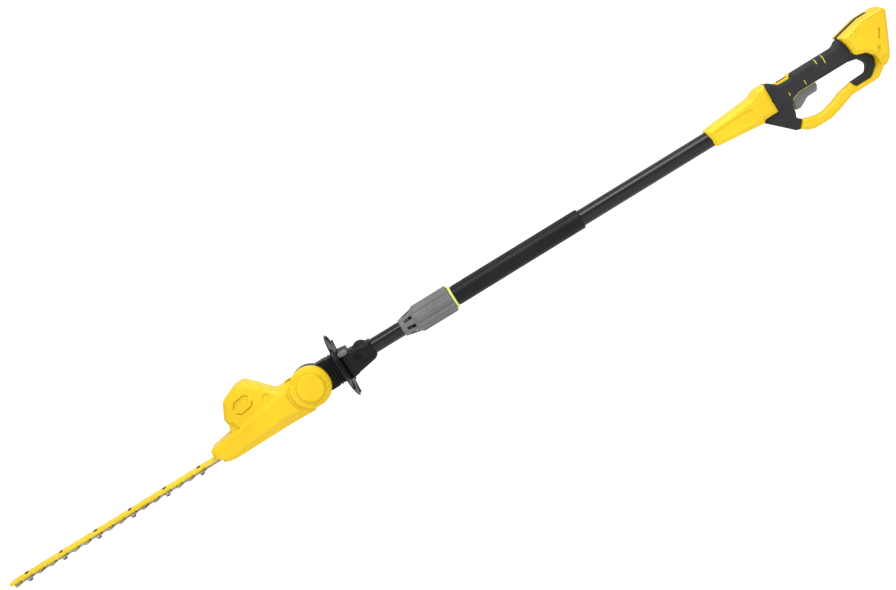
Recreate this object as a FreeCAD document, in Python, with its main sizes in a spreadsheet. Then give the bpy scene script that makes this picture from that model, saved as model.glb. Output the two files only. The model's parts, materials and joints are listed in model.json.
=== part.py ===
import FreeCAD, Part
import math
import os
import Sketcher

# Cordless telescopic pole hedge trimmer, in millimetres.
# X runs along the pole: the blade tip is towards -X and the rear handle towards +X. Z is up, towards the
# lock-off button, and the left side is -Y. The origin is on the pole axis, in the middle of the bare outer
# tube, where a rack or a strap clamp holds the tool.
# Lengths along the pole are written as stations, counted from the blade tip. Every sub-part is drawn at
# its stations and its Placement then moves it by the same amount, so that the origin comes to (0, 0, 0).

V = FreeCAD.Vector
ALONG = V(1, 0, 0)
ACROSS = V(0, 1, 0)
UP = V(0, 0, 1)

doc = FreeCAD.newDocument("PoleHedgeTrimmer")
sheet = doc.addObject("Spreadsheet::Sheet", "Sizes")

DIMENSIONS = [
    ("origin_station", 1410, "middle of the bare outer tube"),
    ("pivot_station", 676.5, "axis on which the head tilts"),
    ("running_gap", 0.3, "gap between parts that move past each other"),
    # pole
    ("tube_od", 32, "outer tube"),
    ("tube_id", 30.1, "bore of the outer tube"),
    ("tube_front", 930, "front end of the outer tube, inside the collar"),
    ("tube_rear", 1660, "rear end of the outer tube, inside the handle"),
    ("inner_od", 29.5, "inner tube"),
    ("inner_id", 27.3, "bore of the inner tube"),
    ("inner_front", 775, "front end of the inner tube"),
    ("inner_rear", 1530, "rear end of the inner tube, pole closed"),
    ("collar_front", 876, "nose of the twist collar"),
    ("collar_rear", 984.7, "rear end of the twist collar"),
    ("collar_radius", 27, "twist collar, over its lobes"),
    ("collar_bore", 19.3, "bore of the twist collar"),
    ("lobes", 8, "finger lobes round the twist collar"),
    ("sleeve_front", 991, "soft sleeve"),
    ("sleeve_rear", 1268, "soft sleeve"),
    ("sleeve_od", 39.6, "soft sleeve"),
    # neck
    ("knuckle_radius", 37.7, "neck knuckle between the cheeks of the head"),
    ("knuckle_width", 26, "neck knuckle along the pivot axis"),
    ("neck_height", 58, "ribbed neck"),
    ("neck_width", 50, "ribbed neck"),
    ("guard_station", 746.2, "front face of the branch guard disc"),
    ("guard_radius", 66, "branch guard disc"),
    ("guard_thickness", 3.6, "branch guard disc"),
    ("bolt_radius", 5, "pivot bolt"),
    # head
    ("left_half_width", 31, "left head shell, from the middle plane"),
    ("right_half_width", 30, "right head shell, from the middle plane"),
    ("lump_half_width", 25, "motor lump on top of the head"),
    ("left_cheek", 39.5, "radius of the left pivot cheek"),
    ("right_cheek", 34.5, "radius of the right pivot cheek"),
    ("motor_station", 551, "motor axis"),
    ("motor_radius", 18.5, "motor can"),
    ("motor_bottom", 1.5, "motor can"),
    ("gear_bottom", -10, "underside of the drive gear"),
    ("gear_width", 6, "drive gear"),
    ("motor_height", 55, "motor can"),
    ("gear_module", 0.8, "motor pinion and drive gear"),
    ("pinion_teeth", 10, "motor pinion"),
    ("gear_teeth", 48, "drive gear"),
    ("crank", 8, "throw of the two eccentrics, half of the cutting stroke"),
    ("cam_radius", 9, "eccentric"),
    ("shaft_radius", 4, "drive gear shaft"),
    # cutting bar
    ("tooth_pitch", 25.1, "from tooth to tooth"),
    ("bolt_pitch", 75.4, "from blade bolt to blade bolt"),
    ("first_bolt", 38, "blade bolt nearest the tip"),
    ("carrier_top", -22.6, "top of the blade carrier bar"),
    ("carrier_thickness", 4.6, "blade carrier bar"),
    ("blade_thickness", 2, "upper and lower blade"),
    ("blade_gap", 0.2, "oil gap beside each blade"),
    ("blade_root", 15, "half-width of the blades between the teeth"),
    ("blade_reach", 29, "half-width of the blades over the teeth"),
    # handle
    ("front_half_width", 22.5, "front housing"),
    ("grip_half_width", 17, "bar that the hand holds"),
    ("loop_half_width", 12.5, "hand guard loop"),
    ("rear_half_width", 37, "battery housing"),
    ("wall", 2.6, "moulded walls"),
    ("trigger_half_width", 7, "trigger"),
    ("trigger_pivot", 1726, "trigger pin, along the pole"),
    ("trigger_pivot_z", -5, "trigger pin, height"),
    ("button_station", 1720.5, "middle of the lock-off button"),
]


class Size(float):
    """A number that keeps the sheet expression it came from, so that it can be bound to a property."""

    def __new__(cls, value, text):
        size = super().__new__(cls, value)
        size.text = text
        return size

    def __add__(self, other):
        return Size(float(self) + float(other), f"({self.text} + {text_of(other)})")

    def __radd__(self, other):
        return Size(float(other) + float(self), f"({text_of(other)} + {self.text})")

    def __sub__(self, other):
        return Size(float(self) - float(other), f"({self.text} - {text_of(other)})")

    def __rsub__(self, other):
        return Size(float(other) - float(self), f"({text_of(other)} - {self.text})")

    def __mul__(self, other):
        return Size(float(self) * float(other), f"({self.text} * {text_of(other)})")

    def __rmul__(self, other):
        return Size(float(other) * float(self), f"({text_of(other)} * {self.text})")

    def __truediv__(self, other):
        return Size(float(self) / float(other), f"({self.text} / {text_of(other)})")

    def __neg__(self):
        return Size(-float(self), f"(-{self.text})")


def text_of(number):
    return number.text if isinstance(number, Size) else repr(float(number))


class Sizes:
    """The sheet's cells by alias, such as size.tube_od."""


size = Sizes()
for row, (alias, number, meaning) in enumerate(DIMENSIONS, start=1):
    sheet.set(f"A{row}", str(number))
    sheet.setAlias(f"A{row}", alias)
    sheet.set(f"B{row}", meaning)
    setattr(size, alias, Size(number, f"Sizes.{alias}"))
doc.recompute()

SUB_PARTS = []


# ---------------------------------------------------------------- document helpers


def bind(thing, prop, number):
    """Set a property, and bind it to the sheet when the number comes from there."""
    if isinstance(number, Size):
        thing.setExpression(prop, number.text)
    elif "." in prop or "[" in prop:
        thing.setExpression(prop, text_of(number))
    else:
        setattr(thing, prop, number)


def sub_part(thing, label):
    """Name a finished sub-part and place it, stations to the tool's own frame."""
    thing.Label = label
    bind(thing, "Placement.Base.x", -size.origin_station)
    SUB_PARTS.append(thing)
    return thing


def new_body(label):
    return sub_part(doc.addObject("PartDesign::Body", label), label)


def new_sketch(body, role, offset=0):
    """A sketch on one of the body's own origin planes, moved along the plane's normal by offset."""
    sketch = body.newObject("Sketcher::SketchObject", "Sketch")
    plane = next(one for one in body.Origin.OriginFeatures if one.Role == role)
    sketch.AttachmentSupport = [(plane, "")]
    sketch.MapMode = "FlatFace"
    bind(sketch, "AttachmentOffset.Base.z", offset)
    return sketch


def corner_cut(before, corner, after, radius):
    """The tangent points and the middle of the arc that rounds a corner."""
    back = (before - corner).normalize()
    ahead = (after - corner).normalize()
    half = back.getAngle(ahead) / 2
    reach = radius / math.tan(half)
    middle = corner + (back + ahead).normalize() * (radius / math.sin(half) - radius)
    return corner + back * reach, middle, corner + ahead * reach


def edges_of(corners):
    """Lines and arcs round an outline. A corner is (u, v) when sharp and (u, v, radius) when rounded."""
    points = [V(one[0], one[1], 0) for one in corners]
    cuts = []
    for i, one in enumerate(corners):
        radius = one[2] if len(one) > 2 else 0
        if radius:
            cuts.append(corner_cut(points[i - 1], points[i], points[(i + 1) % len(points)], radius))
        else:
            cuts.append((points[i], None, points[i]))
    edges = []
    for i, (start, middle, end) in enumerate(cuts):
        if middle:
            edges.append(Part.Arc(start, middle, end))
        following = cuts[(i + 1) % len(cuts)][0]
        if end.distanceToPoint(following) > 1e-6:
            edges.append(Part.LineSegment(end, following))
    return edges


def join_ends(sketch, one, other):
    """Tie the ends of two neighbouring edges that lie on the same point."""
    for i in (1, 2):
        for j in (2, 1):
            if sketch.getPoint(one, i).distanceToPoint(sketch.getPoint(other, j)) < 1e-6:
                sketch.addConstraint(Sketcher.Constraint("Coincident", one, i, other, j))
                return


def draw(sketch, corners):
    """Draw a closed outline. Corners that come from the sheet stay bound to it."""
    first = sketch.GeometryCount
    sketch.addGeometry(edges_of(corners), False)
    last = sketch.GeometryCount - 1
    for i in range(first, last + 1):
        following = i + 1 if i < last else first
        join_ends(sketch, i, following)
    driven = any(isinstance(value, Size) for one in corners for value in one)
    if not driven or any(len(one) > 2 for one in corners):
        return
    for i, one in enumerate(corners):
        for kind, value in zip(("DistanceX", "DistanceY"), one, strict=True):
            index = sketch.addConstraint(Sketcher.Constraint(kind, -1, 1, first + i, 1, float(value)))
            bind(sketch, f"Constraints[{index}]", value)


def draw_circle(sketch, u, v, radius):
    circle = sketch.addGeometry(Part.Circle(V(u, v, 0), UP, radius), False)
    index = sketch.addConstraint(Sketcher.Constraint("Radius", circle, float(radius)))
    bind(sketch, f"Constraints[{index}]", radius)
    for kind, value in (("DistanceX", u), ("DistanceY", v)):
        index = sketch.addConstraint(Sketcher.Constraint(kind, -1, 1, circle, 3, float(value)))
        bind(sketch, f"Constraints[{index}]", value)


def pad(body, sketch, length, symmetric=False, towards=1, taper=0):
    """Add material along the sketch's normal, against it, or to both sides."""
    feature = body.newObject("PartDesign::Pad", "Pad")
    feature.Profile = sketch
    bind(feature, "Length", length)
    feature.SideType = "Symmetric" if symmetric else "One side"
    feature.Reversed = towards < 0
    feature.TaperAngle = taper
    doc.recompute()
    return feature


def pocket(body, sketch, depth, symmetric=False, towards=1):
    """Cut along the sketch's normal or against it, and make sure that it does cut."""
    before = body.Shape.Volume
    feature = body.newObject("PartDesign::Pocket", "Pocket")
    feature.Profile = sketch
    bind(feature, "Length", depth)
    feature.SideType = "Symmetric" if symmetric else "One side"
    feature.Reversed = towards > 0
    doc.recompute()
    if not body.Shape.Volume < before - 1e-3:
        raise RuntimeError(f"{body.Label}: {feature.Name} cuts nothing")
    return feature


def turn(body, sketch, kind="PartDesign::Revolution", axis="H_Axis"):
    before = body.Shape.Volume if kind == "PartDesign::Groove" else None
    feature = body.newObject(kind, "Turned")
    feature.Profile = sketch
    feature.ReferenceAxis = (sketch, [axis])
    feature.Angle = 360
    doc.recompute()
    if before is not None and not body.Shape.Volume < before - 1e-3:
        raise RuntimeError(f"{body.Label}: {feature.Name} cuts nothing")
    return feature


def round_edges(body, chosen, radius, kind="PartDesign::Fillet"):
    """Round or chamfer the edges of the body that the test picks."""
    base = body.Tip
    names = [f"Edge{i}" for i, edge in enumerate(base.Shape.Edges, start=1) if chosen(edge)]
    feature = body.newObject(kind, "Edges")
    feature.Base = (base, names)
    bind(feature, "Radius" if kind == "PartDesign::Fillet" else "Size", radius)
    doc.recompute()
    return feature


def in_plane(edge, axis, at):
    """True for an edge that lies in the plane where the given coordinate equals at."""
    box = edge.BoundBox
    low, high = {"x": (box.XMin, box.XMax), "y": (box.YMin, box.YMax), "z": (box.ZMin, box.ZMax)}[axis]
    return abs(low - at) < 1e-4 and abs(high - at) < 1e-4


def turned(label, profile):
    """A body turned about the pole axis from a (station, radius) profile."""
    body = new_body(label)
    sketch = new_sketch(body, "XZ_Plane")
    draw(sketch, profile)
    turn(body, sketch)
    return body


def ring(start, end, inner, outer):
    """The (station, radius) profile of a plain ring."""
    return [(start, inner), (end, inner), (end, outer), (start, outer)]


def shape_part(label, shape):
    """A sub-part that is made of Part's own shapes, such as a group of identical fasteners."""
    thing = doc.addObject("Part::Feature", label)
    thing.Shape = shape if shape.Placement.isIdentity() else Part.makeCompound([shape])
    return sub_part(thing, label)


def cylinder(radius, height, at, axis=UP):
    return Part.makeCylinder(float(radius), float(height), at, axis)


def screw(at, axis, head_radius=3.4, head_height=2.4, shank_radius=1.7, length=16, hex_head=False):
    """A screw whose head starts at the point and whose shank runs on along the axis."""
    if hex_head:
        corners = [
            V(head_radius * math.cos(math.radians(60 * i)), head_radius * math.sin(math.radians(60 * i)), 0)
            for i in range(7)
        ]
        head = Part.Face(Part.makePolygon(corners)).extrude(V(0, 0, head_height))
    else:
        head = Part.makeCylinder(head_radius, head_height)
        socket = Part.makeCylinder(head_radius * 0.45, head_height * 0.6)
        head = head.cut(socket)
    body = head.fuse(Part.makeCylinder(shank_radius, length, V(0, 0, head_height * 0.9)))
    body = body.removeSplitter()
    body.Placement = FreeCAD.Placement(at, FreeCAD.Rotation(UP, axis))
    return body


def group(label, solids):
    return shape_part(label, Part.makeCompound(solids))


def coil(radius, wire_radius, height, turns, at, axis=UP):
    """A compression spring standing on the point, with its wire inside the height."""
    pitch = (height - 2 * wire_radius) / turns
    helix = Part.makeHelix(pitch, height - 2 * wire_radius, radius)
    section = Part.Wire([Part.Circle(V(radius, 0, 0), ACROSS, wire_radius).toShape()])
    spring = Part.Wire(helix.Edges).makePipeShell([section], True, True)
    spring.translate(V(0, 0, wire_radius))
    spring.Placement = FreeCAD.Placement(at, FreeCAD.Rotation(UP, axis)).multiply(spring.Placement)
    return spring


SCREW_SEAT = 9
SCREW_HEAD = SCREW_SEAT + 2.4


def screw_posts(body, side, places, depth):
    """Posts inside a moulded half, drilled for its screws, which enter from the right."""
    posts = new_sketch(body, "XZ_Plane")
    for x, z in places:
        draw_circle(posts, x, z, 5.2)
    pad(body, posts, depth, towards=-side)
    holes = new_sketch(body, "XZ_Plane")
    for x, z in places:
        draw_circle(holes, x, z, 1.7)
    pocket(body, holes, 60 if side > 0 else 10, towards=-side)
    if side > 0:
        heads = new_sketch(body, "XZ_Plane", -60)
        for x, z in places:
            draw_circle(heads, x, z, 3.6)
        pocket(body, heads, 60 - SCREW_SEAT, towards=1)


# ---------------------------------------------------------------- blade head


LEFT, RIGHT = -1, 1
NOSE = [(455, -5, 5), (454, -20, 6), (462, -33, 8), (474, -39.5, 8)]
LUMP = [(503, -4), (509, 18, 6), (507, 31, 7), (523, 61, 9), (556, 74.5, 9), (575, 74.5, 8)]
LUMP_REAR = [(596, 53, 12), (603, 43, 12), (618, 28, 12), (630, 28, 14)]


def side_sketch(body, corners):
    sketch = new_sketch(body, "XZ_Plane")
    draw(sketch, corners)
    return sketch


def head_shell(label, side, half_width, cheek):
    """One half of the head casing: a low body, the tall motor lump and one cheek of the pivot fork."""
    body = new_body(label)
    lump = LUMP + LUMP_REAR + [(650, 31, 6), (650, -4)]
    pad(body, side_sketch(body, lump), size.lump_half_width, towards=-side)
    round_edges(body, lambda edge: in_plane(edge, "y", side * size.lump_half_width), 4.5)
    low = NOSE + [(665, -39.5, 5), (665, 28, 5), (500, 3, 12)]
    pad(body, side_sketch(body, low), half_width, towards=-side)
    round_edges(body, lambda edge: in_plane(edge, "y", side * half_width), 3.5)
    sketch = new_sketch(body, "XZ_Plane")
    draw_circle(sketch, size.pivot_station, 0, cheek)
    pad(body, sketch, half_width, towards=-side)
    head_cavities(body, side)
    screw_posts(body, side, LUMP_SCREWS, size.lump_half_width - 1)
    screw_posts(body, side, BODY_SCREWS, half_width - 2)


def head_cavities(body, side):
    """Room for the motor, the gearbox and the blade roots, the fork slot and the pivot bore."""
    motor_room = [(512, 3), (600, 3), (600, 40), (592, 51), (576, 67), (552, 67), (528, 57), (513, 31)]
    pocket(body, side_sketch(body, motor_room), size.lump_half_width - size.wall, towards=-side)
    gear_room = [(478, -36.5), (632, -36.5), (632, 19.5), (506, 0.5), (478, -5)]
    pocket(body, side_sketch(body, gear_room), 27.4, towards=-side)
    blade_mouth = [(440, -36.5), (480, -36.5), (480, -19), (440, -19)]
    pocket(body, side_sketch(body, blade_mouth), size.blade_root + 1, towards=-side)
    slot_front = size.pivot_station - size.left_cheek
    slot_rear = size.pivot_station + size.left_cheek + 1
    fork = [(slot_front, -60), (slot_rear, -60), (slot_rear, 60), (slot_front, 60)]
    pocket(body, side_sketch(body, fork), size.knuckle_width / 2 + 0.5, towards=-side)
    bore = new_sketch(body, "XZ_Plane")
    draw_circle(bore, size.pivot_station, 0, size.bolt_radius)
    pocket(body, bore, 60, towards=-side)
    seat = new_sketch(body, "XZ_Plane", -side * 60)
    draw_circle(seat, size.pivot_station, 0, 9.3)
    pocket(body, seat, 60 - (26.9 if side < 0 else 22.5), towards=side)


def spur_gear(teeth, at, height, phase=0):
    """A spur gear with straight-flanked teeth on the sheet's module. The phase counts in teeth."""
    module = float(size.gear_module)
    root = module * (teeth / 2 - 1.25)
    tip = module * (teeth / 2 + 1) - 0.05
    half_angle = math.pi / teeth
    corners = []
    for i in range(teeth):
        middle = 2 * math.pi * (i + phase) / teeth
        for radius, share in ((root, -0.62), (tip, -0.22), (tip, 0.22), (root, 0.62)):
            angle = middle + share * half_angle
            corners.append(V(radius * math.cos(angle), radius * math.sin(angle), 0))
    corners.append(corners[0])
    gear = Part.Face(Part.makePolygon(corners)).extrude(V(0, 0, height))
    gear.translate(at)
    return gear


def gear_station():
    return size.motor_station - size.gear_module * (size.pinion_teeth + size.gear_teeth) / 2


def motor():
    """The can with its end cap, and the rotor shaft with the pinion that runs in it."""
    at = V(size.motor_station, 0, size.motor_bottom)
    can = cylinder(size.motor_radius, size.motor_height, at)
    cap = cylinder(size.motor_radius - 6, 1.5, at + V(0, 0, size.motor_height - 0.5))
    bore = cylinder(3, size.motor_height + 5, at - V(0, 0, 1))
    shape_part("motor_can", can.fuse(cap).cut(bore).removeSplitter())
    rotor_top = size.motor_bottom + size.motor_height - 1
    pinion = spur_gear(int(size.pinion_teeth), V(size.motor_station, 0, size.gear_bottom - 0.5),
                      size.gear_width + 1.5, 0.5)
    shaft = cylinder(2.95, rotor_top - 1, V(size.motor_station, 0, 1))
    stub = cylinder(2.4, 4.5, V(size.motor_station, 0, -3.2))
    shape_part("motor_rotor", pinion.fuse(stub).fuse(shaft).removeSplitter())


def drive_gear():
    """The gear, its shaft, and the two opposed eccentrics that drive the blades."""
    x = gear_station()
    gear = spur_gear(int(size.gear_teeth), V(x, 0, size.gear_bottom), size.gear_width)
    blade_top = size.carrier_top - size.carrier_thickness
    shaft = cylinder(size.shaft_radius, 22, V(x, 0, -23))
    web = cylinder(size.cam_radius + 2, 4.2, V(x, 0, -26.8))
    upper = cylinder(size.cam_radius, 2.2, V(x + size.crank, 0, blade_top - 2.4))
    lower = cylinder(size.cam_radius, 2.2, V(x - size.crank, 0, blade_top - 4.6))
    neck = cylinder(size.shaft_radius + 6, 0.8, V(x, 0, blade_top - 0.3))
    solid = gear.fuse([shaft, web, upper, lower, neck]).removeSplitter()
    shape_part("drive_gear", solid)


def gearbox():
    """A cast cup round the gears, its cover under the motor, and the two bearings of the gear shaft."""
    x = gear_station()
    outer = Part.makeBox(81, 50, 18.5, V(503, -25, -21.5))
    outer = outer.makeFillet(4, [edge for edge in outer.Edges if abs(edge.tangentAt(0).z) > 0.9])
    floor = size.gear_bottom - 1
    gear_room = cylinder(20.6, 13, V(x, 0, floor))
    pinion_room = cylinder(6, 13, V(size.motor_station, 0, floor))
    seat = cylinder(9, 6, V(x, 0, floor - 6))
    mouth = cylinder(size.shaft_radius + 0.5, 12, V(x, 0, -22))
    cup = outer.cut(gear_room.fuse([pinion_room, seat, mouth]))
    shape_part("gearbox_housing", cup.removeSplitter())
    plate = Part.makeBox(54, 42, 2.4, V(506, -21, -3))
    cover = plate.cut(cylinder(3.6, 6, V(size.motor_station, 0, -5)))
    cover = cover.cut(cylinder(size.shaft_radius + 0.4, 6, V(x, 0, -5)))
    shape_part("gearbox_cover", cover)
    lower = cylinder(9, 6, V(x, 0, floor - 6))
    lower = lower.cut(cylinder(size.shaft_radius + 0.05, 6, V(x, 0, floor - 6)))
    shape_part("gear_bearing", lower)


def carrier_bar():
    """The blade carrier with its blunt scallops, which keep fingers and twigs off the teeth."""
    body = new_body("blade_carrier")
    sketch = new_sketch(body, "XY_Plane", size.carrier_top)
    half = 15
    draw(sketch, [(0, -half, 13), (498, -half, 3), (498, half, 3), (0, half, 13)])
    pad(body, sketch, size.carrier_thickness, towards=-1)
    sketch = new_sketch(body, "XY_Plane", size.carrier_top)
    draw(sketch, [(12, -18, 2.5), (20, -18, 2.5), (24, -half + 1), (24, half - 1), (20, 18, 2.5),
                  (12, 18, 2.5), (8, half - 1), (8, -half + 1)])
    scallop = pad(body, sketch, size.carrier_thickness, towards=-1)
    repeat(body, scallop, 17)
    sketch = new_sketch(body, "XY_Plane", size.carrier_top)
    for station in bolt_stations():
        draw_circle(sketch, station, 0, 2.6)
    pocket(body, sketch, 10, towards=-1)
    groove = new_sketch(body, "XY_Plane", size.carrier_top)
    draw(groove, [(16, -9, 2), (436, -9, 2), (436, -6, 1), (16, -6, 1)])
    draw(groove, [(16, 6, 1), (436, 6, 1), (436, 9, 2), (16, 9, 2)])
    pocket(body, groove, 0.8, towards=-1)
    return body


def repeat(body, feature, count):
    """Repeat a feature along the bar, tooth by tooth."""
    pattern = body.newObject("PartDesign::LinearPattern", "Teeth")
    pattern.Originals = [feature]
    axis = next(one for one in body.Origin.OriginFeatures if one.Role == "X_Axis")
    pattern.Direction = (axis, [""])
    pattern.Mode = "Spacing"
    bind(pattern, "Offset", size.tooth_pitch)
    pattern.Occurrences = count
    body.Tip = pattern
    doc.recompute()


def bolt_stations():
    return [size.first_bolt + size.bolt_pitch * i for i in range(6)]


def blade(label, top):
    """A two-sided blade: teeth, slots for the bolts, and the yoke round its eccentric."""
    body = new_body(label)
    sketch = new_sketch(body, "XY_Plane", top)
    root = float(size.blade_root)
    yoke = gear_station()
    draw(sketch, [(10, -root, 4), (500, -root, 2), (500, -22, 2), (yoke + 29.5, -22, 4),
                  (yoke + 29.5, 22, 4), (500, 22, 2), (500, root, 2), (10, root, 4)])
    pad(body, sketch, size.blade_thickness, towards=-1)
    sketch = new_sketch(body, "XY_Plane", top)
    reach = float(size.blade_reach)
    draw(sketch, [(11, -root + 1), (17, -reach, 1), (22, -reach, 1), (28, -root + 1),
                  (28, root - 1), (22, reach, 1), (17, reach, 1), (11, root - 1)])
    tooth = pad(body, sketch, size.blade_thickness, towards=-1)
    repeat(body, tooth, 17)
    slots = new_sketch(body, "XY_Plane", top)
    for station in bolt_stations():
        reach_x = size.crank + 2.5 + size.running_gap
        slot = [(station - reach_x, -2.9, 2.8), (station + reach_x, -2.9, 2.8),
                (station + reach_x, 2.9, 2.8), (station - reach_x, 2.9, 2.8)]
        draw(slots, slot)
    pocket(body, slots, 10, towards=-1)
    window = new_sketch(body, "XY_Plane", top)
    clear_x = size.crank * 2 + size.cam_radius + size.running_gap
    clear_y = size.crank + size.cam_radius + size.running_gap
    draw(window, [(yoke - clear_x, -clear_y, 6), (yoke + clear_x, -clear_y, 6),
                  (yoke + clear_x, clear_y, 6), (yoke - clear_x, clear_y, 6)])
    pocket(body, window, 10, towards=-1)


def blades():
    first = size.carrier_top - size.carrier_thickness - size.blade_gap
    blade("upper_blade", first)
    blade("lower_blade", first - size.blade_thickness - size.blade_gap)


def blade_fasteners():
    """Six bolts through the carrier, and under the lower blade their washers and nuts."""
    under = size.carrier_top - size.carrier_thickness - 2 * size.blade_thickness - 3 * size.blade_gap
    bolts = []
    nuts = []
    for station in bolt_stations():
        head = V(station, 0, size.carrier_top + 2.4)
        bolts.append(screw(head, -UP, 3.8, 2.4, 2.5, 16.8, hex_head=True))
        washer = cylinder(5.5, 1.2, V(station, 0, under - 1.2))
        nut = cylinder(4.4, 5.2, V(station, 0, under - 6.4))
        nuts.append(washer.fuse(nut).cut(cylinder(2.5, 9, V(station, 0, under - 7))).removeSplitter())
    group("blade_bolts", bolts)
    group("blade_nuts", nuts)


def pivot_hardware():
    """The bolt on which the head tilts, its nut, and a cap over each end."""
    x = float(size.pivot_station)
    bolt = cylinder(size.bolt_radius, 54, V(x, -27, 0), ACROSS)
    head = cylinder(9, 3.8, V(x, -30.8, 0), ACROSS)
    shape_part("pivot_bolt", bolt.fuse(head).removeSplitter())
    nut = screw(V(x, 22.6, 0), ACROSS, 8.6, 4.2, 5, 1, hex_head=True)
    shape_part("pivot_nut", nut.cut(cylinder(size.bolt_radius, 20, V(x, 15, 0), ACROSS)))
    left = cylinder(26, 4, V(x, -31.2, 0), -ACROSS)
    rim = [edge for edge in left.Edges if abs(edge.BoundBox.YMin + 35.2) < 1e-3 and edge.Length > 100]
    shape_part("pivot_cap_left", left.makeFillet(2.2, rim))
    right = cylinder(20, 2.6, V(x, 30.1, 0), ACROSS)
    rim = [edge for edge in right.Edges if abs(edge.BoundBox.YMax - 32.7) < 1e-3 and edge.Length > 100]
    shape_part("pivot_cap_right", right.makeFillet(1.6, rim))


LUMP_SCREWS = [(592, 45), (521, 43)]
BODY_SCREWS = [(466, -13), (627, -30), (627, 12)]


def head_screws():
    """Screws that draw the right shell onto the left one, at the bottom of deep wells."""
    places = LUMP_SCREWS + BODY_SCREWS
    group("head_screws", [screw(V(x, SCREW_HEAD, z), -ACROSS, length=16) for x, z in places])


# ---------------------------------------------------------------- neck and inner pole


def neck():
    """Knuckle in the head's fork, ribbed neck, and the spigot that holds the inner tube."""
    body = new_body("neck_knuckle")
    sketch = new_sketch(body, "XZ_Plane")
    draw_circle(sketch, size.pivot_station, 0, size.knuckle_radius)
    pad(body, sketch, size.knuckle_width, symmetric=True)
    start = size.pivot_station + size.left_cheek + 1
    half_height = size.neck_height / 2
    half_width = size.neck_width / 2
    tongue = [(start - 34, -half_height), (start + 4, -half_height), (start + 4, half_height),
              (start - 34, half_height)]
    pad(body, side_sketch(body, tongue), size.knuckle_width, symmetric=True)
    across = new_sketch(body, "YZ_Plane", start)
    corner = 11
    draw(across, [(-half_width, -half_height, corner), (half_width, -half_height, corner),
                  (half_width, half_height, corner), (-half_width, half_height, corner)])
    pad(body, across, size.guard_station - start, towards=1)
    for i in range(4):
        rib = new_sketch(body, "YZ_Plane", start + 5 + 5.5 * i)
        reach = 40
        draw(rib, [(-reach, -reach), (reach, -reach), (reach, reach), (-reach, reach)])
        inset = 2.2
        draw(rib, [(-half_width + inset, -half_height + inset, corner - inset),
                   (half_width - inset, -half_height + inset, corner - inset),
                   (half_width - inset, half_height - inset, corner - inset),
                   (-half_width + inset, half_height - inset, corner - inset)])
        pocket(body, rib, 2.4, towards=1)
    spigot = new_sketch(body, "YZ_Plane", size.guard_station)
    draw_circle(spigot, 0, 0, size.inner_id / 2 - 0.05)
    pad(body, spigot, 66, towards=1)
    bore = new_sketch(body, "XZ_Plane")
    draw_circle(bore, size.pivot_station, 0, size.bolt_radius + 0.05)
    pocket(body, bore, 60, symmetric=True)
    lead_way = new_sketch(body, "YZ_Plane", size.pivot_station + 20)
    draw_circle(lead_way, 0, 0, 6)
    pocket(body, lead_way, 130, towards=1)
    return body


def guard_disc():
    """The disc that stops branches and hands, with a rolled rim."""
    start = size.guard_station
    end = start + size.guard_thickness
    turned("guard_disc", [(start, size.inner_id / 2), (end, size.inner_id / 2), (end, size.guard_radius - 4),
                          (end + 2, size.guard_radius - 3), (end + 2, size.guard_radius),
                          (start, size.guard_radius)])


COUPLER_SCREWS = [(762, -24), (790, -19), (762, 23)]


def coupler(label, side):
    """Half of the coupler that clamps the inner tube behind the guard."""
    body = new_body(label)
    start = size.guard_station + size.guard_thickness
    outline = [(start, -29.5), (813, -21, 4), (813, 19, 5), (773, 22.5, 3), (770, 28.5, 2), (start, 28.5)]
    pad(body, side_sketch(body, outline), 24, towards=-side)
    round_edges(body, lambda edge: in_plane(edge, "y", side * 24) and edge.BoundBox.XMin > 750, 8)
    hole = new_sketch(body, "XZ_Plane")
    draw(hole, [(740, 0), (820, 0), (820, size.inner_od / 2), (740, size.inner_od / 2)])
    turn(body, hole, "PartDesign::Groove")
    holes = new_sketch(body, "XZ_Plane")
    for x, z in COUPLER_SCREWS:
        draw_circle(holes, x, z, 1.2)
    pocket(body, holes, 40 if side > 0 else 8, towards=-side)
    if side > 0:
        heads = new_sketch(body, "XZ_Plane", -40)
        for x, z in COUPLER_SCREWS:
            draw_circle(heads, x, z, 2.3)
        pocket(body, heads, 40 - 16, towards=1)
    else:
        seat = new_sketch(body, "XZ_Plane", 40)
        draw(seat, [(752, 15.5, 4), (767, 15.5, 4), (767, 26, 4), (752, 26, 4)])
        pocket(body, seat, 40 - 19, towards=-1)
    return body


def tilt_release():
    """The button beside the guard that frees the head to tilt."""
    body = new_body("tilt_release_button")
    sketch = new_sketch(body, "XZ_Plane", 19.6 + 3.4)
    draw(sketch, [(752.4, 15.9, 3.6), (766.6, 15.9, 3.6), (766.6, 25.6, 3.6), (752.4, 25.6, 3.6)])
    pad(body, sketch, 4.5, towards=1)
    round_edges(body, lambda edge: in_plane(edge, "y", -27.5), 1.2)
    return body


def coupler_screws():
    group("coupler_screws", [screw(V(x, 17.8, z), -ACROSS, 2.2, 1.8, 1.2, 22) for x, z in COUPLER_SCREWS])


def inner_pole():
    tube = ring(size.inner_front, size.inner_rear, size.inner_id / 2, size.inner_od / 2)
    turned("inner_tube", tube)
    bush = ring(size.inner_rear, size.inner_rear + 16, size.inner_id / 2, size.tube_id / 2 - 0.06)
    turned("inner_tube_bush", bush)


# ---------------------------------------------------------------- outer pole


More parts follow.
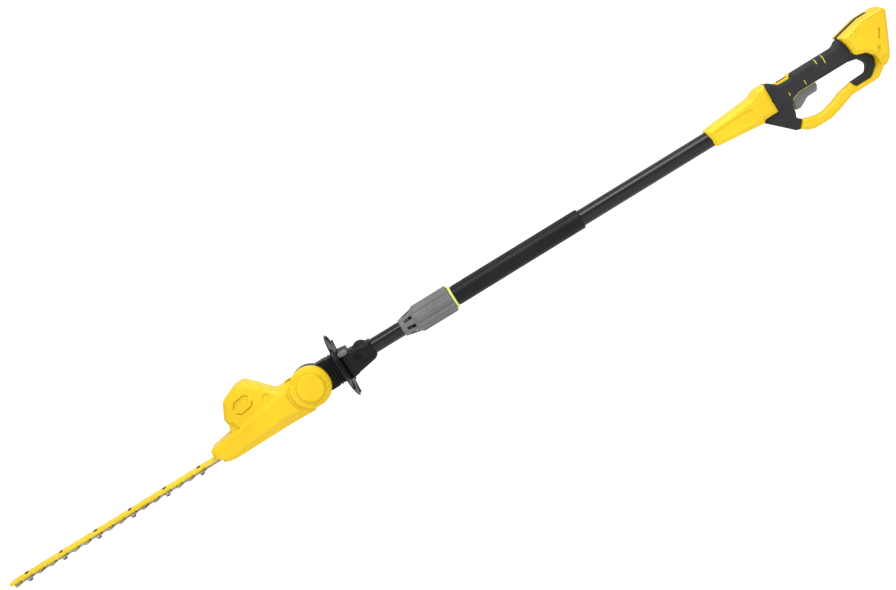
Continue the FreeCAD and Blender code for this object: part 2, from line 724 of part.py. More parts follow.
def outer_pole():
    tube = ring(size.tube_front, size.tube_rear, size.tube_id / 2, size.tube_od / 2)
    turned("outer_tube", tube)
    sleeve = new_body("soft_sleeve")
    sketch = new_sketch(sleeve, "XZ_Plane")
    draw(sketch, ring(size.sleeve_front, size.sleeve_rear, size.tube_od / 2, size.sleeve_od / 2))
    turn(sleeve, sketch)
    ends = (float(size.sleeve_front), float(size.sleeve_rear))
    outer = float(size.sleeve_od) / 2
    round_edges(sleeve, lambda edge: any(in_plane(edge, "x", end) for end in ends)
                and edge.BoundBox.ZMax > outer - 0.1, 3)


def collet_lock():
    """Threaded socket with its ring, the split collet, and the twist collar that squeezes it."""
    radius = size.tube_od / 2
    front = size.tube_front + 6
    rear = size.collar_rear + size.running_gap
    turned("collar_socket", [(front, radius), (size.sleeve_front, radius), (size.sleeve_front, 21.5),
                             (size.sleeve_front - 2, 23.5), (rear, 23.5), (rear, size.collar_bore - 0.3),
                             (front, size.collar_bore - 0.3)])
    collet = new_body("collet")
    sketch = new_sketch(collet, "XZ_Plane")
    draw(sketch, [(size.collar_front + 23, size.inner_od / 2 + 0.05),
                  (size.tube_front, size.inner_od / 2 + 0.05), (size.tube_front, size.collar_bore - 0.4),
                  (size.collar_front + 34, size.collar_bore - 0.4), (size.collar_front + 23, 17.4)])
    turn(collet, sketch)
    slit = new_sketch(collet, "XY_Plane")
    draw(slit, [(size.collar_front + 20, -0.8), (size.tube_front - 6, -0.8), (size.tube_front - 6, 0.8),
                (size.collar_front + 20, 0.8)])
    pocket(collet, slit, 60, symmetric=True)
    slit = new_sketch(collet, "XZ_Plane")
    draw(slit, [(size.collar_front + 20, -0.8), (size.tube_front - 6, -0.8), (size.tube_front - 6, 0.8),
                (size.collar_front + 20, 0.8)])
    pocket(collet, slit, 60, symmetric=True)
    twist_collar()


def twist_collar():
    """The collar that locks the pole's length, with finger lobes round it."""
    body = new_body("twist_collar")
    sketch = new_sketch(body, "XZ_Plane")
    front = size.collar_front
    draw(sketch, [(front, 15.1), (front + 21, 15.1), (front + 21, size.collar_bore),
                  (size.collar_rear, size.collar_bore), (size.collar_rear, size.collar_radius - 1),
                  (size.collar_rear - 1, size.collar_radius), (front + 42, size.collar_radius),
                  (front + 30, 24.5), (front + 28, 23), (front, 16.5)])
    turn(body, sketch)
    valley = new_sketch(body, "YZ_Plane", size.collar_rear + 1)
    draw_circle(valley, size.collar_radius + 6.5, 0, 8.4)
    cut = pocket(body, valley, size.collar_rear - front - 26, towards=-1)
    pattern = body.newObject("PartDesign::PolarPattern", "Lobes")
    pattern.Originals = [cut]
    axis = next(one for one in body.Origin.OriginFeatures if one.Role == "X_Axis")
    pattern.Axis = (axis, [""])
    pattern.Angle = 360
    bind(pattern, "Occurrences", size.lobes)
    body.Tip = pattern
    doc.recompute()
    return body


# ---------------------------------------------------------------- rear handle


FRONT_SCREWS = [(1674, 27), (1674, -13)]
GRIP_SCREWS = [(1745, 18), (1846, 8), (1700, -52)]
REAR_SCREWS = [(1798, -65)]
FRONT_SEAM = [(1689.5, 36), (1689.5, -21.3), (1659, -21.7), (1653.5, -27)]
REAR_SEAM = [(1859, 33), (1864, 20, 10), (1863.5, -4, 8), (1880.5, -12, 10), (1892.5, -26, 12),
             (1885.5, -44, 12), (1868.5, -58, 4), (1836.5, -58), (1830.5, -48)]
LOOP_SEAM = [(1717.5, -58), (1706.5, -70)]
REAR_BACK = [(1864, 38, 3), (1897, 49, 8), (1942, 49, 6), (1950, 40, 6), (1919, -29, 6),
             (1912, -42, 6), (1897, -57, 8)]


DOCK_CORNER = V(1915.2, 0, -17.6)
DOCK_ALONG = V(31, 0, 69).normalize()
DOCK_OUT = V(69, 0, -31).normalize()
DOCK_LENGTH = 47


def front_housing(label, side):
    """Half of the yellow nose of the handle, which takes the pole."""
    body = new_body(label)
    outline = [(1548, 21, 4), (1652, 28.5, 25), (1664, 36, 8)] + FRONT_SEAM + [(1555, -18, 3)]
    pad(body, side_sketch(body, outline), size.front_half_width, towards=-side)
    at = side * float(size.front_half_width)
    round_edges(body, lambda edge: in_plane(edge, "y", at) and edge.BoundBox.XMin < 1688
                and edge.BoundBox.XMax < 1689.6 and edge.BoundBox.ZMax > -20, 7)
    room = [(1578, -15), (1648, -18), (1687, -18), (1687, 33), (1668, 33), (1650, 25.5), (1578, 19.5)]
    pocket(body, side_sketch(body, room), size.front_half_width - size.wall, towards=-side)
    way = new_sketch(body, "XZ_Plane")
    draw(way, [(1530, 0), (1700, 0), (1700, size.tube_od / 2), (1530, size.tube_od / 2)])
    turn(body, way, "PartDesign::Groove")
    screw_posts(body, side, FRONT_SCREWS, size.front_half_width - 1)
    return body


def grip_outline():
    """The black grip with the front strut of the loop and the lining behind the hand."""
    top = [(1696.5, 31, 6), (1708.5, 21, 8), (1732.5, 20, 4), (1738.5, 26, 4), (1832.5, 26, 15),
           (1842.5, 33, 8)]
    opening = [(1862.5, -47, 8), (1871.5, -32, 10), (1860.5, -17, 12), (1838.5, -12, 12),
               (1736.5, -11.5, 4), (1718.5, -18, 8), (1712.5, -44, 8), (1709.5, -50, 4)]
    return top + REAR_SEAM + opening + LOOP_SEAM + [(1700.5, -68, 3)] + FRONT_SEAM[::-1]


def grip_shell(label, side):
    body = new_body(label)
    bar = [(1689.5, -21.3), (1718.5, -18, 8), (1736.5, -11.5, 4), (1838.5, -12, 8), (1858, -4, 8),
           (1863.5, 2, 6), (1864, 20, 10), (1859, 33), (1842.5, 33, 8), (1832.5, 26, 15), (1738.5, 26, 6),
           (1732.5, 20, 4), (1708.5, 21, 8), (1696.5, 31, 6), (1689.5, 36)]
    pad(body, side_sketch(body, bar), size.grip_half_width, towards=-side)
    round_edges(body, lambda edge: in_plane(edge, "y", side * size.grip_half_width), 4)
    pad(body, side_sketch(body, grip_outline()), size.loop_half_width, towards=-side)
    room = [(1700, -9), (1850, -9), (1856, 2), (1858, 18), (1842, 23), (1738, 23), (1734, 17), (1700, 17)]
    pocket(body, side_sketch(body, room), size.grip_half_width - size.wall, towards=-side)
    slot = [(1716.3, -24), (1777, -24), (1777, 4), (1716.3, 4)]
    pocket(body, side_sketch(body, slot), size.trigger_half_width + 0.5, towards=-side)
    button = [(1709.2, 10), (1731.8, 10), (1731.8, 30), (1709.2, 30)]
    pocket(body, side_sketch(body, button), 6.4, towards=-side)
    bezel = [(1706.9, 20.3), (1734.1, 20.3), (1734.1, 40), (1706.9, 40)]
    pocket(body, side_sketch(body, bezel), 10.1, towards=-side)
    screw_posts(body, side, GRIP_SCREWS, size.grip_half_width - 1)
    return body


def rear_housing(label, side):
    """Half of the battery housing with the yellow hand guard loop in one piece."""
    body = new_body(label)
    inside = [(1868, 36), (1866.5, 22, 8), (1866.5, -2, 8), (1884, -9, 10), (1896, -24, 10),
              (1896, -44, 5), (1903, -51, 4)]
    wide = inside + REAR_BACK[-2:0:-1]
    pad(body, side_sketch(body, wide), size.rear_half_width, towards=-side)
    round_edges(body, lambda edge: in_plane(edge, "y", side * size.rear_half_width), 4)
    loop = [(1720, -80, 6), (1732, -86, 10), (1765, -87, 12), (1785, -80, 20), (1820, -68, 15),
            (1880, -67, 6)]
    inner = [(1803, -53, 10), (1783, -61, 15), (1760, -67, 8), (1745, -67, 8), (1730, -62.5, 8)]
    outline = REAR_SEAM + inner + LOOP_SEAM + loop + REAR_BACK[::-1]
    pad(body, side_sketch(body, outline), size.loop_half_width, towards=-side)
    room = [(1872, 22), (1872, 2), (1886, -6), (1899, -20), (1906, -28), (1914, -22), (1938, 30),
            (1938, 45.5), (1900, 45.5), (1872, 36)]
    pocket(body, side_sketch(body, room), size.rear_half_width - size.wall - 2, towards=-side)
    reach = ((-0.3, -0.1), (-0.3, 16), (DOCK_LENGTH + 0.3, 16), (DOCK_LENGTH + 0.3, -0.1))
    spots = [DOCK_CORNER + DOCK_ALONG * along + DOCK_OUT * out for along, out in reach]
    pocket(body, side_sketch(body, [(spot.x, spot.z) for spot in spots]), 28, towards=-side)
    screw_posts(body, side, REAR_SCREWS, size.loop_half_width - 1)
    return body


def battery_dock():
    """The plate in the slanted rear face: two rails, and between them the contact blades."""
    length = DOCK_LENGTH
    plate = Part.makeBox(3, 55, length, V(0, -27.5, 0))
    rails = []
    for sign in (-1, 1):
        web = Part.makeBox(5, 2.5, length, V(2.5, sign * 22 - 1.25, 0))
        lip = Part.makeBox(1.8, 6, length, V(5.7, sign * 20 - 3, 0))
        rails += [web, lip]
    dock = plate.fuse(rails).removeSplitter()
    blades = [Part.makeBox(4, 1, 16, V(2.8, y - 0.5, 22)) for y in (-9, -3, 3, 9)]
    dock = dock.cut(Part.makeCompound(blades))
    rotation = FreeCAD.Rotation(DOCK_OUT, V(0, 1, 0), DOCK_ALONG, "XZY")
    frame = FreeCAD.Placement(DOCK_CORNER, rotation)
    dock.Placement = frame
    shape_part("battery_dock", dock)
    for one in blades:
        one.Placement = frame
    group("battery_contacts", blades)


def pole_clamp():
    """The block in the front housing that holds the outer tube, with its two screws."""
    block = Part.makeBox(64, 38, 33.5, V(1582, -19, -15))
    block = block.cut(cylinder(size.tube_od / 2, 80, V(1575, 0, 0), ALONG))
    shape_part("pole_clamp", block)


def trigger():
    """The throttle lever on its pin, with the switch that it works and the spring that returns it."""
    body = new_body("trigger")
    outline = [(1717, -38.5, 1.5), (1727, -39, 4), (1737, -34, 8), (1747, -28, 8), (1769, -27.5, 4),
               (1774, -18, 3), (1773, -6, 3), (1760, -4.2, 3), (1733, 1.6, 4), (1720.5, 0.6, 5),
               (1719.2, -14, 4)]
    pad(body, side_sketch(body, outline), 2 * size.trigger_half_width, symmetric=True)
    half = float(size.trigger_half_width)
    round_edges(body, lambda edge: abs(abs(edge.BoundBox.YMin) - half) < 1e-4
                and abs(edge.BoundBox.YMin - edge.BoundBox.YMax) < 1e-4 and edge.BoundBox.ZMax < -26, 1.4)
    bore = new_sketch(body, "XZ_Plane")
    draw_circle(bore, size.trigger_pivot, size.trigger_pivot_z, 2.05)
    pocket(body, bore, 40, symmetric=True)
    pin = cylinder(2, 2 * 14.2, V(size.trigger_pivot, -14.2, size.trigger_pivot_z), ACROSS)
    shape_part("trigger_pin", pin)
    case = Part.makeBox(25, 11, 11, V(1751.5, -5.5, 5))
    case = case.cut(cylinder(1.9, 8, V(1757, 0, 4)))
    shape_part("switch", case)
    plunger = cylinder(1.85, 9, V(1757, 0, -2.9))
    shape_part("switch_plunger", plunger)
    shape_part("trigger_spring", coil(2.6, 0.5, 9.6, 6, V(1767, 0, -4.8)))


def lock_off():
    """The button that has to be pressed before the trigger, with bezel, spring and spring seat."""
    x = float(size.button_station)
    body = new_body("lock_off_button")
    sketch = new_sketch(body, "XY_Plane", 13)
    draw(sketch, [(x - 10.6, -5.8, 3), (x + 10.6, -5.8, 3), (x + 10.6, 5.8, 3), (x - 10.6, 5.8, 3)])
    pad(body, sketch, 12.5, towards=1)
    round_edges(body, lambda edge: in_plane(edge, "z", 25.5), 1.5)
    frame = Part.makeBox(27, 20, 2.6, V(x - 13.5, -10, 20.4))
    frame = frame.makeFillet(2, [edge for edge in frame.Edges if abs(edge.tangentAt(0).z) > 0.9])
    hole = Part.makeBox(22.6, 12.8, 6, V(x - 11.3, -6.4, 19))
    shape_part("lock_off_bezel", frame.cut(hole))
    shape_part("lock_off_spring", coil(3.2, 0.5, 7.6, 5, V(x, 0, 5.2)))
    shape_part("spring_seat", Part.makeBox(14, 28.4, 1.2, V(x - 7, -14.2, 3.9)))


def electronics():
    """The speed controller on its board, in the grip's rear half."""
    board = Part.makeBox(62, 24, 1.6, V(1777.5, -12, -2))
    chips = [Part.makeBox(9, 7, 2.5, V(1782 + 14 * i, -8, -0.4)) for i in range(3)]
    capacitor = cylinder(5, 12, V(1829, 4, -0.4))
    shape_part("controller_board", board.fuse(chips + [capacitor]).removeSplitter())


def housing_screws():
    places = FRONT_SCREWS + GRIP_SCREWS + REAR_SCREWS
    group("housing_screws", [screw(V(x, SCREW_HEAD, z), -ACROSS, length=16) for x, z in places])


# ---------------------------------------------------------------- build, check and write


def build():
    head_shell("head_shell_left", LEFT, size.left_half_width, size.left_cheek)
    head_shell("head_shell_right", RIGHT, size.right_half_width, size.right_cheek)
    head_screws()
    motor()
    drive_gear()
    gearbox()
    carrier_bar()
    blades()
    blade_fasteners()
    pivot_hardware()
    neck()
    guard_disc()
    coupler("coupler_left", LEFT)
    coupler("coupler_right", RIGHT)
    coupler_screws()
    tilt_release()
    inner_pole()
    outer_pole()
    collet_lock()
    front_housing("front_housing_left", LEFT)
    front_housing("front_housing_right", RIGHT)
    pole_clamp()
    grip_shell("grip_shell_left", LEFT)
    grip_shell("grip_shell_right", RIGHT)
    rear_housing("rear_housing_left", LEFT)
    rear_housing("rear_housing_right", RIGHT)
    battery_dock()
    trigger()
    lock_off()
    electronics()
    housing_screws()


def check():
    """Stop when any object has failed or any sub-part has no valid shape."""
    doc.recompute()
    problems = []
    for thing in doc.Objects:
        if "Invalid" in thing.State or "Error" in thing.State:
            problems.append(f"{thing.Name}: {thing.State}")
    for thing in SUB_PARTS:
        if thing.Shape.isNull() or not thing.Shape.isValid():
            problems.append(f"{thing.Label}: no valid shape")
        print(f"{thing.Label}: {len(thing.Shape.Solids)} solids, {thing.Shape.Volume / 1000:.1f} cm3")
    if problems:
        raise RuntimeError("; ".join(problems))


def write():
    os.makedirs("parts", exist_ok=True)
    for thing in SUB_PARTS:
        thing.Shape.exportStep(f"parts/{thing.Label}.step")


build()
check()
write()
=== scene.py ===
import bpy
import json
import math
import numpy as np
import openvdb
from mathutils import Matrix, Vector


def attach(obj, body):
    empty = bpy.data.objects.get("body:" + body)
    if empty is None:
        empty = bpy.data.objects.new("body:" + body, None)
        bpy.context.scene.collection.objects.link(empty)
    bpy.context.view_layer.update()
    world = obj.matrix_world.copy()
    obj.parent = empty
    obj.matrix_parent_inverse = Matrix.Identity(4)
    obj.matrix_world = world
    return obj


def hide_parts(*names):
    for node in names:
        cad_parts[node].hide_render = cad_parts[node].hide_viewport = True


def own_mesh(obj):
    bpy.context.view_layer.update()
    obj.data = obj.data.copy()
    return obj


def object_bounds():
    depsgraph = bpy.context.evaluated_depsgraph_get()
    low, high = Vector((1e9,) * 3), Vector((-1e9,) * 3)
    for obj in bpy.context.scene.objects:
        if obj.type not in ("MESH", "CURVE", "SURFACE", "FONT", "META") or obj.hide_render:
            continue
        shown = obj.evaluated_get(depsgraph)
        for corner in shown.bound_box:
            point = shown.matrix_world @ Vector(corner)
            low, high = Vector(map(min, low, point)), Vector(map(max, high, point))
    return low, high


# A cordless telescopic pole hedge trimmer on a white studio floor.
# The frame gives the blade tip and the CAD nodes. Lengths in the shape functions are millimetres, as
# stations from the blade tip along the pole, side offsets from its axis, which are below zero on the
# near side, and heights above its axis. MM and STATION turn them into the frame.

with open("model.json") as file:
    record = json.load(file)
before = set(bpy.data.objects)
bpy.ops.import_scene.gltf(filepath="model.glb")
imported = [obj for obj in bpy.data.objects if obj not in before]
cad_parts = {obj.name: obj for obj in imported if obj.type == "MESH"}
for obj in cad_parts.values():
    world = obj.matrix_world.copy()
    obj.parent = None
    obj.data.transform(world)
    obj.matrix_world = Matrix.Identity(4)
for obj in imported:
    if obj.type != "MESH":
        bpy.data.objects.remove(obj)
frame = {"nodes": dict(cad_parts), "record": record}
cad_low, cad_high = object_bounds()

MM = 0.001
STATION = cad_low.x / MM  # where station 0, the blade tip, lies on the frame's x axis


def at(station, y, z):
    """A point in the frame from a station, a side offset and a height in millimetres."""
    return Vector(((station + STATION) * MM, y * MM, z * MM))


# ---------------------------------------------------------------- camera, light and floor

CAMERA_STATION = 1130
CENTRE_STATION = 981.5
CENTRE_HEIGHT = 8
CAMERA_DISTANCE = 3.0
ELEVATION = math.radians(10)
ROLL = math.radians(31.6)
FOCAL_PIXELS = 1606
IMAGE_WIDTH = 896
HORIZON_STRENGTH = 1.0
OVERHEAD_STRENGTH = 0.38
FLOOR_HALF = 30  # metres, so that its edge lies beyond the view
FLOOR_CLEARANCE = 0.0005
FLOOR_GLOW = 0.90


def make_camera():
    """Look square at the pole from beside the handle, with the lens shifted to centre the whole tool."""
    data = bpy.data.cameras.new("camera")
    camera = bpy.data.objects.new("camera", data)
    bpy.context.scene.collection.objects.link(camera)
    look = Vector((0, math.cos(ELEVATION), -math.sin(ELEVATION)))
    along = Vector((1, 0, 0))
    above = along.cross(look)
    right = along * math.cos(ROLL) - above * math.sin(ROLL)
    up = along * math.sin(ROLL) + above * math.cos(ROLL)
    camera.location = at(CAMERA_STATION, 0, 0) - look * CAMERA_DISTANCE
    camera.rotation_mode = "QUATERNION"
    camera.rotation_quaternion = Matrix((right, up, -look)).transposed().to_quaternion()
    data.sensor_width = 36
    data.lens = FOCAL_PIXELS * data.sensor_width / IMAGE_WIDTH
    aside = along * (CENTRE_STATION - CAMERA_STATION) * MM + above * CENTRE_HEIGHT * MM
    shift_scale = FOCAL_PIXELS / IMAGE_WIDTH / CAMERA_DISTANCE
    data.shift_x = aside.dot(right) * shift_scale
    data.shift_y = aside.dot(up) * shift_scale
    data.clip_end = 50
    bpy.context.scene.camera = camera


def make_light(name, place, aim, size, power):
    """A white rectangular soft box; places and sizes are metres and the power is watts."""
    data = bpy.data.lights.new(name, "AREA")
    data.shape = "RECTANGLE"
    data.size, data.size_y = size
    data.energy = power
    light = bpy.data.objects.new(name, data)
    bpy.context.scene.collection.objects.link(light)
    light.location = place
    light.rotation_mode = "QUATERNION"
    light.rotation_quaternion = (Vector(aim) - Vector(place)).to_track_quat("-Z", "Y")


def make_surround():
    """A white surround that is brightest near the horizon and dims overhead."""
    world = bpy.data.worlds.new("studio_surround")
    world.use_nodes = True
    tree = world.node_tree
    backdrop = tree.nodes["Background"]
    backdrop.inputs["Color"].default_value = (1, 1, 1, 1)
    direction = node_of(tree, "ShaderNodeTexCoord")
    parts = node_of(tree, "ShaderNodeSeparateXYZ")
    tree.links.new(direction.outputs["Generated"], parts.inputs["Vector"])
    strength = ramp_of(tree, parts.outputs["Z"], HORIZON_STRENGTH, OVERHEAD_STRENGTH, 0.14, 0.5)
    tree.links.new(strength, backdrop.inputs["Strength"])
    bpy.context.scene.world = world
    bpy.context.scene.view_settings.view_transform = "Standard"


def make_studio():
    """Soft boxes above, a bright surround and a white floor under the tool."""
    make_light("key_light", (0.5, -0.9, 2.6), (-0.1, 0, 0), (3.0, 1.4), 54)
    make_light("strip_light", (-0.3, -1.5, 2.3), (-0.3, 0, 0), (3.4, 0.5), 40)
    make_light("back_light", (-0.4, 1.6, 2.2), (-0.3, 0, 0), (3.0, 0.8), 16)
    make_surround()
    mesh = bpy.data.meshes.new("floor")
    level = cad_low.z - FLOOR_CLEARANCE
    around = ((-1, -1), (1, -1), (1, 1), (-1, 1))
    corners = [(side * FLOOR_HALF, end * FLOOR_HALF, level) for side, end in around]
    mesh.from_pydata(corners, [], [(0, 1, 2, 3)])
    floor = bpy.data.objects.new("floor", mesh)
    bpy.context.scene.collection.objects.link(floor)
    floor.data.materials.append(floor_material())


# ---------------------------------------------------------------- materials


def node_of(tree, kind, **settings):
    node = tree.nodes.new(kind)
    for name, value in settings.items():
        setattr(node, name, value)
    return node


def ramp_of(tree, source, low, high, start=0.0, end=1.0):
    """Map a 0-to-1 value to a range of numbers."""
    ranged = node_of(tree, "ShaderNodeMapRange")
    ranged.inputs["From Min"].default_value = start
    ranged.inputs["From Max"].default_value = end
    ranged.inputs["To Min"].default_value = low
    ranged.inputs["To Max"].default_value = high
    tree.links.new(source, ranged.inputs["Value"])
    return ranged.outputs["Result"]


def noise_of(tree, scale, detail=4.0, roughness=0.6, stretch=(1, 1, 1)):
    """Object-space noise; the scale is in waves per metre."""
    place = node_of(tree, "ShaderNodeTexCoord")
    mapping = node_of(tree, "ShaderNodeMapping")
    mapping.inputs["Scale"].default_value = stretch
    tree.links.new(place.outputs["Object"], mapping.inputs["Vector"])
    noise = node_of(tree, "ShaderNodeTexNoise")
    noise.inputs["Scale"].default_value = scale
    noise.inputs["Detail"].default_value = detail
    noise.inputs["Roughness"].default_value = roughness
    tree.links.new(mapping.outputs["Vector"], noise.inputs["Vector"])
    return noise.outputs["Fac"]


def mix_colour(tree, amount, first, second):
    """Blend two colours, each a tuple or another node's output."""
    mix = node_of(tree, "ShaderNodeMix", data_type="RGBA")
    tree.links.new(amount, mix.inputs["Factor"])
    for socket, colour in ((mix.inputs[6], first), (mix.inputs[7], second)):
        if isinstance(colour, tuple):
            socket.default_value = (*colour, 1)
        else:
            tree.links.new(colour, socket)
    return mix.outputs[2]


def finish_material(name, colour, shade, roughness, metallic=0.0, grain=(2200, 0.05), blotch=9.0,
                    wear=None, stretch=(1, 1, 1), bevel=0.0004, ior=1.46):
    """A surface with colour variation, varied roughness, fine grain and rubbed edges.

    colour and shade are the light and the dark end of the colour variation, roughness is its range,
    grain is the bump's scale and strength, blotch is the scale of the colour patches, wear is the colour
    that shows on rubbed edges, stretch draws the grain out along an axis, and bevel softens edges.
    """
    material = bpy.data.materials.new(name)
    material.use_nodes = True
    tree = material.node_tree
    surface = tree.nodes["Principled BSDF"]
    patches = noise_of(tree, blotch, 5.0, 0.55)
    base = mix_colour(tree, ramp_of(tree, patches, 0, 1, 0.35, 0.65), shade, colour)
    if wear:
        edges = node_of(tree, "ShaderNodeNewGeometry")
        rubbed = ramp_of(tree, edges.outputs["Pointiness"], 0.0, 0.45, 0.56, 0.68)
        scuffs = noise_of(tree, 160, 6.0, 0.7)
        worn = node_of(tree, "ShaderNodeMath", operation="MULTIPLY")
        tree.links.new(rubbed, worn.inputs[0])
        tree.links.new(ramp_of(tree, scuffs, 0, 1, 0.4, 0.6), worn.inputs[1])
        base = mix_colour(tree, worn.outputs["Value"], base, wear)
    tree.links.new(base, surface.inputs["Base Color"])
    smear = noise_of(tree, blotch * 6, 4.0, 0.65, stretch)
    tree.links.new(ramp_of(tree, smear, roughness[0], roughness[1], 0.3, 0.7), surface.inputs["Roughness"])
    surface.inputs["Metallic"].default_value = metallic
    surface.inputs["IOR"].default_value = ior
    bump = node_of(tree, "ShaderNodeBump")
    bump.inputs["Strength"].default_value = grain[1]
    bump.inputs["Distance"].default_value = 0.0002
    tree.links.new(noise_of(tree, grain[0], 2.0, 0.5, stretch), bump.inputs["Height"])
    if bevel:
        softened = node_of(tree, "ShaderNodeBevel", samples=4)
        softened.inputs["Radius"].default_value = bevel
        tree.links.new(softened.outputs["Normal"], bump.inputs["Normal"])
    tree.links.new(bump.outputs["Normal"], surface.inputs["Normal"])
    return material


def floor_material():
    """A pale floor that glows a little, so that it stays white far from the lights."""
    material = finish_material("studio_floor", (0.26, 0.26, 0.26), (0.24, 0.24, 0.24), (0.8, 0.9),
                               grain=(120, 0.03), blotch=1.5, bevel=0)
    surface = material.node_tree.nodes["Principled BSDF"]
    surface.inputs["Emission Color"].default_value = (1, 1, 1, 1)
    surface.inputs["Emission Strength"].default_value = FLOOR_GLOW
    return material


def make_materials():
    """One finish for each material slot, and two more for the inlays and the pale ring."""
    return {
        "yellow_shell": finish_material(
            "moulded_yellow", (0.79, 0.545, 0.006), (0.72, 0.475, 0.004), (0.30, 0.44),
            grain=(2600, 0.10), wear=(1.0, 0.82, 0.10), ior=1.36),
        "carrier_paint": finish_material(
            "painted_yellow", (0.90, 0.68, 0.012), (0.80, 0.56, 0.008), (0.32, 0.5),
            grain=(900, 0.12), wear=(0.85, 0.66, 0.06), ior=1.3),
        "black_moulding": finish_material(
            "black_nylon", (0.010, 0.010, 0.011), (0.006, 0.006, 0.006), (0.36, 0.5),
            grain=(3000, 0.22), wear=(0.05, 0.05, 0.05), ior=1.25),
        "soft_grip": finish_material(
            "soft_overmould", (0.022, 0.022, 0.026), (0.014, 0.014, 0.016), (0.55, 0.72),
            grain=(1500, 0.35), wear=(0.06, 0.06, 0.065), ior=1.36),
        "grey_moulding": finish_material(
            "grey_nylon", (0.155, 0.155, 0.16), (0.115, 0.115, 0.12), (0.40, 0.55),
            grain=(2400, 0.2), wear=(0.33, 0.33, 0.33)),
        "pole": finish_material(
            "black_anodised_tube", (0.006, 0.006, 0.006), (0.003, 0.003, 0.003), (0.24, 0.32),
            grain=(700, 0.04), stretch=(0.05, 1, 1), bevel=0, ior=1.4),
        "blade_steel": finish_material(
            "ground_steel", (0.40, 0.39, 0.37), (0.24, 0.23, 0.22), (0.26, 0.44), metallic=1.0,
            grain=(1400, 0.25), stretch=(0.15, 1, 1), wear=(0.85, 0.85, 0.85)),
        "dark_steel": finish_material(
            "blackened_steel", (0.10, 0.10, 0.105), (0.05, 0.045, 0.04), (0.35, 0.55), metallic=1.0,
            grain=(1200, 0.3), wear=(0.4, 0.4, 0.4)),
        "casting": finish_material(
            "cast_alloy", (0.62, 0.62, 0.63), (0.5, 0.5, 0.5), (0.45, 0.65), metallic=1.0,
            grain=(900, 0.5)),
        "zinc": finish_material(
            "zinc_plate", (0.66, 0.66, 0.62), (0.5, 0.52, 0.5), (0.25, 0.4), metallic=1.0,
            grain=(1500, 0.15)),
        "copper": finish_material(
            "contact_brass", (0.80, 0.58, 0.25), (0.62, 0.40, 0.16), (0.2, 0.35), metallic=1.0,
            grain=(1500, 0.1)),
        "inlay": finish_material(
            "yellow_inlay", (0.82, 0.74, 0.05), (0.70, 0.62, 0.03), (0.4, 0.5), grain=(1800, 0.1)),
        "ring": finish_material(
            "pale_ring", (0.66, 0.70, 0.20), (0.56, 0.60, 0.15), (0.3, 0.4), grain=(1500, 0.1)),
        "board": finish_material(
            "board_lacquer", (0.02, 0.16, 0.06), (0.01, 0.10, 0.04), (0.25, 0.4), grain=(700, 0.3)),
    }


def dress_nodes(materials):
    """Give each CAD node the material of its slot, and the sleeve the finish of the black mouldings."""
    for part in frame["record"]["subparts"]:
        thing = frame["nodes"][part["node"]]
        thing.data.materials.clear()
        thing.data.materials.append(materials[part["material_slot"]])
    frame["nodes"]["soft_sleeve"].data.materials[0] = materials["black_moulding"]


# ---------------------------------------------------------------- shapes from distances
#
# The moulded shells are described on a block of sample points by how far each point is from the
# surface, below zero inside. All of this is in millimetres and stations.

CORNER_STEPS = 6  # straight pieces in each rounded corner of an outline
SEAM_GAP = 0.3    # between the two halves of a split moulding
WALL = 2.6        # wall thickness of the hollow mouldings


class Block:
    """A box of sample points between two corners, each (station, side, height)."""

    def __init__(self, low, high, step):
        self.low = low
        self.step = step
        counts = [int((top - bottom) / step) + 2 for bottom, top in zip(low, high)]
        spans = [low[i] + step * np.arange(counts[i], dtype=np.float32) for i in range(3)]
        self.x = spans[0][:, None, None]
        self.y = spans[1][None, :, None]
        self.z = spans[2][None, None, :]


def rounded(corners):
    """Corner points, each (x, z) or (x, z, radius), as a closed outline with its corners rounded."""
    outline = []
    count = len(corners)
    for i, corner in enumerate(corners):
        here = Vector(corner[:2])
        radius = corner[2] if len(corner) > 2 else 0
        to_last = Vector(corners[i - 1][:2]) - here
        to_next = Vector(corners[(i + 1) % count][:2]) - here
        turn = to_last.angle(to_next)
        if radius == 0 or turn > math.radians(178):
            outline.append(here)
            continue
        room = 0.49 * min(to_last.length, to_next.length)
        reach = min(radius / math.tan(turn / 2), room)
        first = here + to_last.normalized() * reach
        last = here + to_next.normalized() * reach
        for k in range(CORNER_STEPS + 1):
            t = k / CORNER_STEPS
            outline.append(first * (1 - t) ** 2 + here * 2 * t * (1 - t) + last * t ** 2)
    return outline


def to_segment(x, z, start, end):
    """Square of the distance from each point to one straight line."""
    along = end - start
    share = ((x - start.x) * along.x + (z - start.y) * along.y) / max(along.length_squared, 1e-9)
    share = np.clip(share, 0, 1)
    return (x - start.x - along.x * share) ** 2 + (z - start.y - along.y * share) ** 2


def outline_distance(x, z, corners):
    """Distance from each point to a closed outline, below zero inside it."""
    outline = rounded(corners)
    nearest = None
    inside = np.zeros(np.broadcast(x, z).shape, bool)
    for start, end in zip(outline, outline[1:] + outline[:1]):
        square = to_segment(x, z, start, end)
        nearest = square if nearest is None else np.minimum(nearest, square)
        rise = end.y - start.y
        if abs(rise) > 1e-9:
            crossing = start.x + (z - start.y) * (end.x - start.x) / rise
            inside ^= ((start.y > z) != (end.y > z)) & (x < crossing)
    return np.where(inside, -1, 1).astype(np.float32) * np.sqrt(nearest).astype(np.float32)


def side_view(block, corners):
    """Distance to an outline drawn from the side."""
    return outline_distance(block.x, block.z, corners)


def side_line(block, points, half_width):
    """Distance to a line drawn from the side, with its width."""
    spots = [Vector(point) for point in points]
    nearest = None
    for start, end in zip(spots, spots[1:]):
        square = to_segment(block.x, block.z, start, end)
        nearest = square if nearest is None else np.minimum(nearest, square)
    return np.sqrt(nearest).astype(np.float32) - half_width


def side_circle(block, station, height, radius):
    """Distance to a cylinder that runs across the pole."""
    return np.sqrt((block.x - station) ** 2 + (block.z - height) ** 2) - radius


